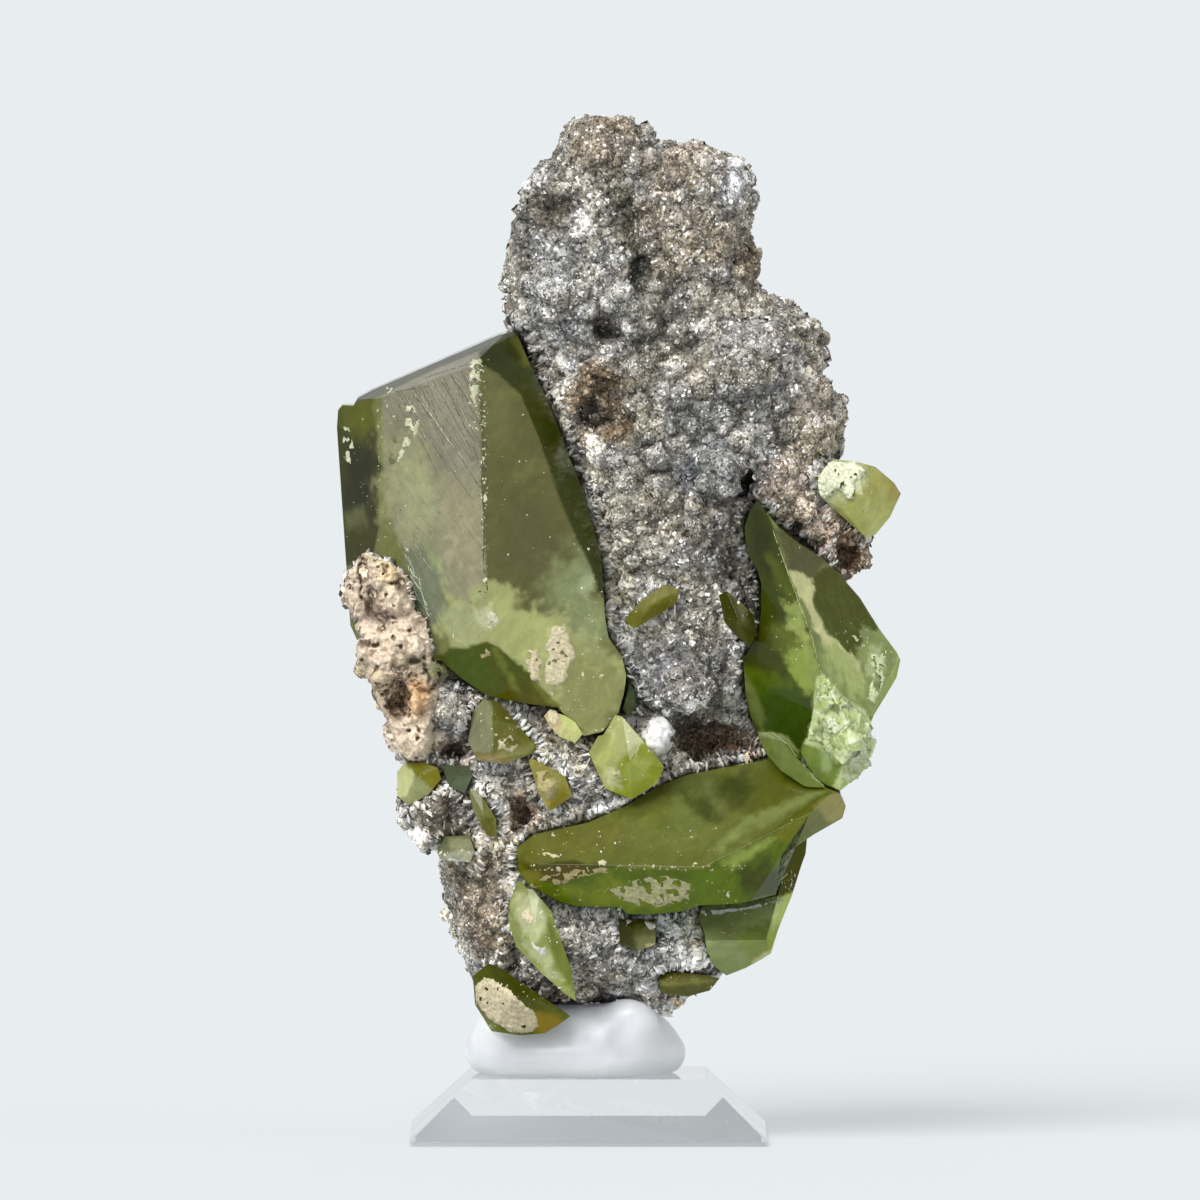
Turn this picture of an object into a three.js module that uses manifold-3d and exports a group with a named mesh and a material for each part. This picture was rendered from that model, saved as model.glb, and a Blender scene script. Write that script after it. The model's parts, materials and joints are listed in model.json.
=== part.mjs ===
// A titanite specimen on a display base: green gem crystals grown on a grey druse-coated rock.
// Units are millimetres, +Z is up, X runs to the right and the front of the specimen faces -Y.
// The origin is the centre of the base's underside.

import * as THREE from 'three';
import { ConvexGeometry } from 'three/addons/geometries/ConvexGeometry.js';
import { ImprovedNoise } from 'three/addons/math/ImprovedNoise.js';
import { MarchingCubes } from 'three/addons/objects/MarchingCubes.js';
import { mergeVertices } from 'three/addons/utils/BufferGeometryUtils.js';
import Module from 'manifold-3d';

// Display base
const BASE_WIDTH = 32;
const BASE_TOP_WIDTH = 21;
const BASE_HEIGHT = 5.7;
const BASE_FOOT = 0.4;

// Clearance between pieces that touch, and a wider one where the tack follows the rough rock
const GAP = 0.3;
const TACK_GAP = 0.42;

// Rock surface: the cube that holds it, the cell of its mesh, the softness of the joins between lumps
const ROCK_CENTRE = [1.5, 0, 51];
const ROCK_REACH = 46;
const ROCK_CELL = 2.15;
const ROCK_BLEND = 1.5;

// Roughness of the rock: height and width of its knobs and of its finer grain
const KNOB_HEIGHT = 2.4;
const KNOB_WIDTH = 5.2;
const KNOB_MIDDLE = 0.22;
const KNOB_SHIFT = 40;
const GRAIN_HEIGHT = 0.45;
const GRAIN_WIDTH = 2.9;

// Evening of the rock's mesh: rounds, step that the slope is measured over, longest move of a corner
const EVEN_ROUNDS = 3;
const SLOPE_STEP = 0.05;
const LEAST_SLOPE = 0.4;
const LONGEST_MOVE = 0.8;

// Tack lump: half widths and heights above the base, its depth against its width, how it is kneaded
const TACK_PROFILE = [
  [0, 0.02], [9.0, 0.02], [9.8, 0.8], [10.1, 1.9], [9.6, 3.5], [8.7, 4.9], [6.6, 6.3], [0, 6.9],
];
const TACK_MIDDLE = [-1.2, 0.3];
const TACK_DEPTH = 0.9;
const TACK_STEPS = 10;
const TACK_SIDES = 24;
const TACK_BULGE = 0.07;
const TACK_DENTS = 6;
const TACK_SHIFT = 5;

// Lips of the tack pressed up against the rock: centre x, y, z and radii x, y, z
const TACK_LIPS = [
  [3.9, -6.2, 10.9, 2.9, 2.6, 2.6],
  [-8.3, -3.6, 10.0, 2.3, 3.4, 2.3],
];

// Limits of the meshing: distance at which corners are joined, field value on the skin, most triangles
const WELD = 1e-3;
const SKIN_VALUE = 100;
const MOST_TRIANGLES = 40000;
const CUTTER_SIZE = 200;
const SHARPEST_TURN = 0.5;

const GREEN = { color: 0x8a9a48, roughness: 0.12, metalness: 0 };
const LIME = { color: 0xb4c268, roughness: 0.18, metalness: 0 };
const ROCK = { color: 0x958f88, roughness: 0.8, metalness: 0 };
const QUARTZ = { color: 0xf2f2f0, roughness: 0.4, metalness: 0 };
const TACK = { color: 0xe6e7ee, roughness: 0.5, metalness: 0 };
const ACRYLIC = { color: 0xe4ecef, roughness: 0.05, metalness: 0 };
const LIME_PIECES = /lime|edge|pale/;

// Lumps of the rock: centre x, y, z and radii x, y, z
const LUMPS = [
  // top block, from the left peak to the right shoulder
  [1.5, 0.4, 87.0, 5.2, 6.6, 4.9],
  [-2.3, -0.4, 82.6, 4.6, 7.0, 5.1],
  [-2.9, -0.6, 76.2, 4.6, 7.6, 6.0],
  [4.6, 0.8, 84.0, 6.0, 7.6, 5.0],
  [9.9, 0.6, 84.7, 4.9, 7.0, 5.0],
  [4.6, 1.0, 76.0, 9.0, 9.2, 9.0],
  [11.0, 0.5, 77.9, 4.3, 8.0, 5.2],
  [15.9, -0.6, 69.4, 5.2, 8.0, 6.3],
  [17.6, 0.6, 64.0, 4.9, 7.6, 5.0],
  [22.0, -0.6, 65.5, 1.1, 2.0, 1.6],
  [17.0, 0.5, 59.2, 4.8, 7.5, 4.6],
  // centre of the block and the neck between the large crystals
  [4.6, 1.5, 66.3, 10.5, 10.2, 9.0],
  [11.8, 0.4, 66.0, 7.5, 9.5, 8.0],
  [7.3, 1.0, 55.5, 10.0, 10.2, 9.5],
  [11.4, -6.8, 60.4, 3.2, 3.4, 3.2],
  [7.8, 0.5, 44.7, 9.0, 10.2, 9.0],
  [9.5, -7.0, 40.6, 4.3, 4.0, 3.0],
  // knob and thin rim behind the large right crystal
  [22.6, 0.8, 53.9, 3.2, 4.5, 2.7],
  [21.5, 1.5, 51.6, 2.4, 4.0, 2.4],
  [23.4, 1.5, 49.9, 1.5, 3.0, 2.0],
  // behind the large left crystal
  [-5.5, 5.0, 53.0, 8.0, 6.6, 12.0],
  [-10.5, 2.0, 41.0, 7.5, 9.0, 8.5],
  // cream crusted lumps at the left edge
  [-19.6, -8.2, 50.0, 2.3, 3.4, 3.4],
  [-17.4, -10.6, 50.0, 2.1, 2.6, 3.4],
  [-16.9, -8.4, 44.7, 3.8, 4.6, 4.4],
  [-15.8, -6.0, 40.3, 3.4, 5.4, 4.5],
  [-14.4, -6.0, 36.3, 3.4, 5.0, 3.0],
  [-12.0, -7.0, 38.6, 2.8, 4.4, 2.6],
  // lower body, and the swell that carries the small crystals
  [1.0, 0.5, 33.0, 13.0, 10.6, 9.0],
  [-6.5, -4.6, 36.0, 6.0, 6.0, 4.4],
  [0.5, -4.6, 33.8, 7.0, 6.4, 4.4],
  [-8.6, -4.2, 31.0, 4.6, 6.2, 4.6],
  [11.8, 1.5, 31.0, 9.0, 9.2, 8.0],
  [-13.8, -4.8, 29.7, 3.8, 5.0, 3.1],
  [-7.5, 0.0, 25.5, 5.6, 10.0, 7.0],
  [-7.2, 0.0, 20.5, 5.2, 9.6, 7.0],
  [-2.5, 0.0, 18.0, 8.0, 9.8, 6.0],
  [5.5, 0.0, 18.2, 6.4, 9.6, 6.2],
  [7.6, -2.5, 12.9, 1.6, 2.6, 2.2],
  [10.5, 1.0, 22.0, 5.5, 8.5, 4.5],
  [9.4, -3.4, 17.0, 3.0, 5.2, 2.8],
];

// Pits and hollows cut into the rock: centre x, y, z and radii x, y, z
const PITS = [
  // dark pits, cleft and crevice of the top block
  [2.5, -9.2, 72.9, 1.6, 2.6, 1.2],
  [1.7, -10.4, 66.4, 3.0, 3.2, 3.5],
  [14.3, -9.4, 58.4, 0.9, 4.0, 2.0],
  [4.6, -8.8, 78.0, 0.9, 2.4, 2.6],
  [-1.7, -7.4, 84.0, 1.2, 1.8, 1.4],
  // wide hollow under the overhanging lump
  [9.9, -10.2, 35.4, 2.3, 5.2, 1.8],
  [13.2, -9.8, 35.3, 2.2, 5.2, 1.7],
  // small deep pits among the lower crystals and the cream lumps
  [-5.8, -10.6, 29.2, 1.5, 3.6, 2.2],
  [-16.9, -11.4, 39.6, 0.9, 4.0, 1.9],
  [-12.0, -11.2, 34.6, 1.9, 3.4, 1.1],
  [-19.2, -12.4, 51.7, 0.9, 2.2, 1.0],
  [23.4, -3.4, 51.9, 1.3, 3.4, 1.9],
];

// Broken back of the rock: a point on it, and how it leans with x and z
const BACK_Y = 9.2;
const BACK_LEAN_X = -0.06;
const BACK_LEAN_Z = -0.05;
const BACK_MID_Z = 50;
const BACK_BLEND = 2.5;

const wasm = await Module();
wasm.setup();
const noise = new ImprovedNoise();
const group = new THREE.Group();

// Geometry and solids

function toSolid(geometry) {
  const plain = geometry.clone();
  plain.deleteAttribute('normal');
  plain.deleteAttribute('uv');
  const merged = mergeVertices(plain, WELD);
  const corners = merged.index.array;
  const points = merged.attributes.position.array;
  const kept = [];
  for (let i = 0; i < corners.length; i += 3) {
    const [a, b, c] = [corners[i], corners[i + 1], corners[i + 2]];
    if (a !== b && b !== c && c !== a) kept.push(a, b, c);
  }
  return new wasm.Manifold(new wasm.Mesh({
    numProp: 3,
    vertProperties: new Float32Array(points),
    triVerts: new Uint32Array(kept),
  }));
}

function toGeometry(solid) {
  const mesh = solid.getMesh();
  const geometry = new THREE.BufferGeometry();
  const points = new Float32Array(mesh.vertProperties);
  geometry.setAttribute('position', new THREE.BufferAttribute(points, 3));
  geometry.setIndex(new THREE.BufferAttribute(new Uint32Array(mesh.triVerts), 1));
  geometry.computeVertexNormals();
  return geometry;
}

function largestBody(solid) {
  const bodies = solid.decompose();
  return bodies.reduce((best, body) => (body.volume() > best.volume() ? body : best));
}

function addPiece(name, solid, finish) {
  const material = new THREE.MeshStandardMaterial({ ...finish, flatShading: true });
  const mesh = new THREE.Mesh(toGeometry(solid), material);
  mesh.name = name;
  group.add(mesh);
}

// Rock: a rough skin round the lumps, less the pits

function ellipsoidDistance(x, y, z, [cx, cy, cz, rx, ry, rz]) {
  const [px, py, pz] = [(x - cx) / rx, (y - cy) / ry, (z - cz) / rz];
  const near = Math.hypot(px, py, pz);
  const steep = Math.hypot(px / rx, py / ry, pz / rz);
  return steep < 1e-6 ? -Math.min(rx, ry, rz) : near * (near - 1) / steep;
}

function softMin(a, b, width) {
  const h = Math.max(width - Math.abs(a - b), 0) / width;
  return Math.min(a, b) - h * h * width / 4;
}

function rockDistance(x, y, z) {
  let distance = Infinity;
  for (const lump of LUMPS) {
    distance = softMin(distance, ellipsoidDistance(x, y, z, lump), ROCK_BLEND);
  }
  const back = y - BACK_Y - BACK_LEAN_X * x - BACK_LEAN_Z * (z - BACK_MID_Z);
  distance = -softMin(-distance, -back, BACK_BLEND);
  const knob = Math.abs(noise.noise(x / KNOB_WIDTH, y / KNOB_WIDTH, z / KNOB_WIDTH + KNOB_SHIFT));
  const grain = noise.noise(x / GRAIN_WIDTH, y / GRAIN_WIDTH, z / GRAIN_WIDTH);
  return distance - KNOB_HEIGHT * (knob - KNOB_MIDDLE) + GRAIN_HEIGHT * grain;
}

// how the distance changes with x, y and z at a spot
function rockSlope(spot, here) {
  return new THREE.Vector3(
    rockDistance(spot.x + SLOPE_STEP, spot.y, spot.z) - here,
    rockDistance(spot.x, spot.y + SLOPE_STEP, spot.z) - here,
    rockDistance(spot.x, spot.y, spot.z + SLOPE_STEP) - here,
  ).divideScalar(SLOPE_STEP);
}

// evens out a mesh by moving each corner to the middle of its neighbours and back onto the skin
function evenOut(geometry, grow) {
  const points = geometry.attributes.position;
  const corners = geometry.index.array;
  const spot = new THREE.Vector3();
  for (let round = 0; round < EVEN_ROUNDS; round += 1) {
    const sums = Array.from({ length: points.count }, () => [0, 0, 0, 0]);
    for (let i = 0; i < corners.length; i += 1) {
      const from = corners[i];
      const to = corners[i % 3 === 2 ? i - 2 : i + 1];
      const sum = sums[from];
      sum[0] += points.getX(to);
      sum[1] += points.getY(to);
      sum[2] += points.getZ(to);
      sum[3] += 1;
    }
    for (let i = 0; i < points.count; i += 1) {
      const [x, y, z, count] = sums[i];
      spot.set(x / count, y / count, z / count);
      const here = rockDistance(spot.x, spot.y, spot.z);
      const slope = rockSlope(spot, here);
      const away = (grow - here) / Math.max(slope.lengthSq(), LEAST_SLOPE);
      spot.addScaledVector(slope, THREE.MathUtils.clamp(away, -LONGEST_MOVE, LONGEST_MOVE));
      points.setXYZ(i, spot.x, spot.y, spot.z);
    }
  }
  return geometry;
}

function rockSolid(grow) {
  const count = Math.ceil(2 * ROCK_REACH / ROCK_CELL);
  const material = new THREE.MeshStandardMaterial();
  const skin = new MarchingCubes(count, material, false, false, MOST_TRIANGLES);
  const half = count / 2;
  const place = (step, axis) => ROCK_CENTRE[axis] + (step - half) / half * ROCK_REACH;
  for (let k = 0; k < count; k += 1) {
    for (let j = 0; j < count; j += 1) {
      for (let i = 0; i < count; i += 1) {
        const distance = rockDistance(place(i, 0), place(j, 1), place(k, 2));
        skin.setCell(i, j, k, SKIN_VALUE - distance + grow);
      }
    }
  }
  skin.isolation = SKIN_VALUE;
  skin.update();
  const points = skin.positionArray.slice(0, skin.count * 3);
  const geometry = new THREE.BufferGeometry();
  geometry.setAttribute('position', new THREE.BufferAttribute(points, 3));
  geometry.scale(ROCK_REACH, ROCK_REACH, ROCK_REACH);
  geometry.translate(...ROCK_CENTRE);
  return largestBody(toSolid(evenOut(mergeVertices(geometry, WELD), grow)));
}

function ballSolid([x, y, z, rx, ry, rz], detail = 2) {
  const geometry = new THREE.IcosahedronGeometry(1, detail);
  geometry.scale(rx, ry, rz);
  geometry.translate(x, y, z);
  return toSolid(geometry);
}

// Large crystals: an outline seen from the front, cut by flat faces

function face(p, q, r) {
  const plane = new THREE.Plane().setFromCoplanarPoints(
    new THREE.Vector3(...p), new THREE.Vector3(...q), new THREE.Vector3(...r));
  return plane.normal.y > 0 ? plane.negate() : plane;
}

function backFace(p, q, r) {
  return face(p, q, r).negate();
}

// the point of a face that lies at x and z
function on(plane, x, z) {
  return [x, -(plane.constant + plane.normal.x * x + plane.normal.z * z) / plane.normal.y, z];
}

function growOutline(outline, grow) {
  const ring = outline.map(([x, z]) => new THREE.Vector2(x, z));
  if (grow === 0) return ring;
  const turn = THREE.ShapeUtils.isClockWise(ring) ? 1 : -1;
  return ring.map((point, i) => {
    const before = ring[(i + ring.length - 1) % ring.length];
    const after = ring[(i + 1) % ring.length];
    const into = point.clone().sub(before).normalize();
    const away = after.clone().sub(point).normalize();
    const side = into.clone().add(away).normalize();
    const reach = grow / Math.max(SHARPEST_TURN, side.dot(into));
    return new THREE.Vector2(point.x - turn * side.y * reach, point.y + turn * side.x * reach);
  });
}

// a large block whose one side lies on a plane, with the rock's middle across from it
function halfSpace(plane, grow) {
  const block = new THREE.BoxGeometry(CUTTER_SIZE, CUTTER_SIZE, CUTTER_SIZE);
  const up = new THREE.Vector3(0, 0, 1);
  block.translate(0, 0, CUTTER_SIZE / 2);
  block.applyQuaternion(new THREE.Quaternion().setFromUnitVectors(up, plane.normal));
  const middle = new THREE.Vector3(...ROCK_CENTRE);
  const foot = plane.projectPoint(middle, new THREE.Vector3()).addScaledVector(plane.normal, grow);
  block.translate(foot.x, foot.y, foot.z);
  return toSolid(block);
}

function facetedSolid({ outline, front, back, faces }, grow = 0) {
  const shape = new THREE.Shape(growOutline(outline, grow));
  const depth = back - front + 2 * grow;
  const geometry = new THREE.ExtrudeGeometry(shape, { depth, bevelEnabled: false });
  geometry.rotateX(Math.PI / 2);
  geometry.translate(0, back + grow, 0);
  let solid = toSolid(geometry);
  for (const plane of faces) solid = solid.subtract(halfSpace(plane, grow));
  return solid;
}

// Small crystals: the flat-faced body round its corners

function gemSolid(corners, grow = 0) {
  const points = corners.map((corner) => new THREE.Vector3(...corner));
  if (grow === 0) return toSolid(new ConvexGeometry(points));
  // each corner becomes an octahedron whose sides are the wanted distance away
  const reach = grow * Math.sqrt(3);
  const steps = [[1, 0, 0], [-1, 0, 0], [0, 1, 0], [0, -1, 0], [0, 0, 1], [0, 0, -1]];
  const spread = points.flatMap((point) => steps.map(
    (step) => point.clone().addScaledVector(new THREE.Vector3(...step), reach)));
  return toSolid(new ConvexGeometry(spread));
}

// Large left crystal

function largeLeft() {
  const sheen = face([-18.8, -10.6, 67.4], [-10.4, -13.6, 69.9], [-8.9, -13.2, 46]);
  const olive = face(on(sheen, -10.4, 69.9), on(sheen, -8.9, 46), [0.3, -11.6, 52.9]);
  const lower = face(on(olive, -8.9, 45.3), on(olive, -2.8, 39.4), on(sheen, -13.2, 45.2));
  return {
    front: -15,
    back: 1.5,
    outline: [
      [-22.5, 65.6], [-22.1, 66.1], [-21.1, 66.1], [-20.7, 66.8], [-19.4, 67.5],
      [-8.0, 72.5], [-6.8, 72.8], [-6.3, 72.3], [-5.4, 70.2], [-3.5, 66.1],
      [-0.4, 58.2], [1.1, 53.0], [1.5, 47.1], [1.8, 45.4], [3.0, 43.7],
      [3.4, 42.0], [3.2, 40.5], [2.7, 38.7], [1.3, 37.0], [-0.4, 36.6],
      [-2.8, 39.2], [-4.9, 39.4], [-9.0, 40.1], [-11.5, 41.8], [-13.2, 43.3],
      [-20.8, 45.0], [-21.4, 46.3], [-21.9, 52.8], [-22.6, 64.0],
    ],
    faces: [
      sheen,
      olive,
      lower,
      face([-22.6, -5.0, 58], on(sheen, -18.8, 67.4), on(sheen, -18.3, 50)),
      face(on(olive, -6.3, 67.5), on(olive, 0.3, 52.9), [-3.5, -8.4, 66.1]),
      face(on(olive, -9.7, 69.4), on(olive, -6.3, 67.5), [-6.8, -8.2, 72.8]),
      face(on(sheen, -18.9, 66.8), on(sheen, -10.4, 69.9), [-14, -6, 70.4]),
      backFace([-22.6, -2.5, 60], [-22.6, -2.5, 48], [-15, 1.5, 55]),
      backFace([-19.4, -3, 67.5], [-8, -3, 72.5], [-12, 1.5, 66]),
    ],
  };
}

// Large right crystal, with its broken end and the blade below it

function largeRight() {
  const dark = face([14.2, -9.8, 54], [16.3, -11.6, 55], [21.0, -14.2, 42.9]);
  const bright = face(on(dark, 16.3, 55), on(dark, 21.0, 42.9), [28.1, -4.5, 42.9]);
  return {
    front: -16,
    back: 3,
    outline: [
      [15.1, 57.7], [15.9, 56.7], [17.1, 55.2], [19.0, 53.7], [20.8, 52.5],
      [22.6, 50.8], [24.4, 48.7], [26.2, 45.8], [27.7, 43.8], [28.1, 42.9],
      [27.8, 41.5], [26.7, 39.9], [25.6, 38.4], [25.2, 37.2], [23.0, 34.0],
      [18.0, 34.6], [15.2, 36.6], [14.5, 38.4], [14.1, 40.2], [13.9, 43.3],
      [14.6, 44.6], [15.3, 46.0], [15.5, 47.9], [15.5, 50.2], [15.1, 51.6],
      [14.4, 52.6], [14.1, 54.0], [14.0, 55.3], [14.4, 56.6],
    ],
    faces: [
      dark,
      bright,
      face(on(dark, 14.1, 41.5), on(dark, 21.4, 38.4), [19.0, -9.0, 33.8]),
      face(on(bright, 28.2, 44.5), on(bright, 24.2, 36.2), [26.6, -3.4, 38.4]),
      backFace([15, 3, 52], [27.5, -1.5, 44], [20, 3, 36]),
      backFace([15, 0, 57], [24.4, -2, 48.7], [17, 3, 50]),
    ],
  };
}

function brokenEnd() {
  return {
    front: -14,
    back: -3,
    outline: [
      [20.9, 41.8], [20.1, 40.4], [19.9, 37.6], [19.3, 36.3], [18.9, 35.4],
      [19.9, 33.6], [21.3, 32.0], [22.5, 31.6], [23.5, 32.5], [24.8, 33.6],
      [25.4, 35.9], [25.2, 37.2], [24.4, 38.6], [24.0, 39.7], [22.6, 40.5],
    ],
    faces: [
      face([20.9, -13.6, 41.8], [20.6, -13.4, 34.8], [25.4, -9.4, 36.4]),
      face([20.3, -13.2, 37.4], [22.8, -12.0, 35.2], [21.3, -11.2, 32.0]),
      face([23.2, -11.4, 36.4], [23.5, -10.6, 33.4], [25.4, -7.0, 35.0]),
      backFace([19, -3, 40], [25.4, -4.5, 36], [22.5, -6.5, 31.6]),
    ],
  };
}

const BLADE_BELOW = [
  [15.2, -11.0, 36.6], [16.2, -12.6, 36.8], [17.1, -13.2, 36.4], [18.3, -13.8, 35.1],
  [19.5, -14.0, 33.6], [21.6, -13.2, 31.7], [19.3, -13.0, 32.2], [17.2, -12.4, 33.6],
  [15.8, -11.4, 35.2], [16.0, -8.0, 36.4], [21.4, -8.5, 31.8], [17.4, -8.0, 33.8],
];

// Long lower crystal

function lowerLong() {
  const upper = face([-5.9, -12.8, 25.2], [10.3, -16.6, 25.1], [6.2, -9.6, 32]);
  const arm = face(on(upper, 10.3, 25.1), on(upper, 22.6, 31.2), [18.0, -13.0, 24.0]);
  return {
    front: -17.5,
    back: -1,
    outline: [
      [-6.4, 26.5], [-4.9, 27.7], [0.0, 28.8], [3.4, 30.3], [6.2, 32.0],
      [8.9, 33.0], [14.7, 34.1], [16.2, 34.4], [19.0, 33.0], [21.6, 31.8],
      [22.6, 31.4], [23.1, 30.2], [22.8, 29.1], [20.3, 27.8], [17.3, 26.0],
      [16.8, 22.3], [13.6, 21.7], [10.0, 21.5], [8.2, 20.9], [5.5, 20.6],
      [3.6, 20.6], [2.8, 21.2], [-1.2, 21.3], [-2.6, 21.7], [-3.9, 22.4],
      [-5.3, 23.1], [-6.3, 24.5],
    ],
    faces: [
      upper,
      arm,
      face(on(upper, -5.9, 25.2), on(upper, 10.3, 25.1), [3.0, -11.6, 20.7]),
      face([16.8, -10.4, 22.3], on(arm, 14.6, 22.0), on(arm, 17.4, 26.2)),
      face([-6.4, -10.4, 26.2], on(upper, -4.8, 27.6), on(upper, -4.4, 24.6)),
      backFace([23.1, -4.5, 30.2], [16, -1, 34], [16, -1.5, 22]),
    ],
  };
}

// Lower right crystal, behind the long one

function lowerRight() {
  const broad = face([10.6, -10.6, 19], [16.6, -9.2, 19], [18.4, -3.6, 26.5]);
  return {
    front: -12,
    back: 4,
    outline: [
      [9.9, 20.3], [10.4, 18.9], [10.6, 17.3], [11.4, 15.6], [12.4, 14.8],
      [14.1, 15.5], [15.5, 16.3], [16.4, 16.9], [17.0, 18.8], [17.5, 20.0],
      [18.3, 21.8], [19.2, 24.5], [19.8, 26.0], [20.0, 27.5], [19.0, 29.5],
      [14.0, 29.0], [11.0, 24.0],
    ],
    faces: [
      broad,
      face(on(broad, 16.0, 18.4), on(broad, 17.9, 25.0), [17.9, -3.6, 20.4]),
      face(on(broad, 10.8, 18.2), on(broad, 16.0, 18.2), [13.0, -6.4, 15.0]),
      backFace([12, 4, 28], [20, 1, 27], [15, 1.5, 15]),
    ],
  };
}

// Small crystals: their corners

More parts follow.
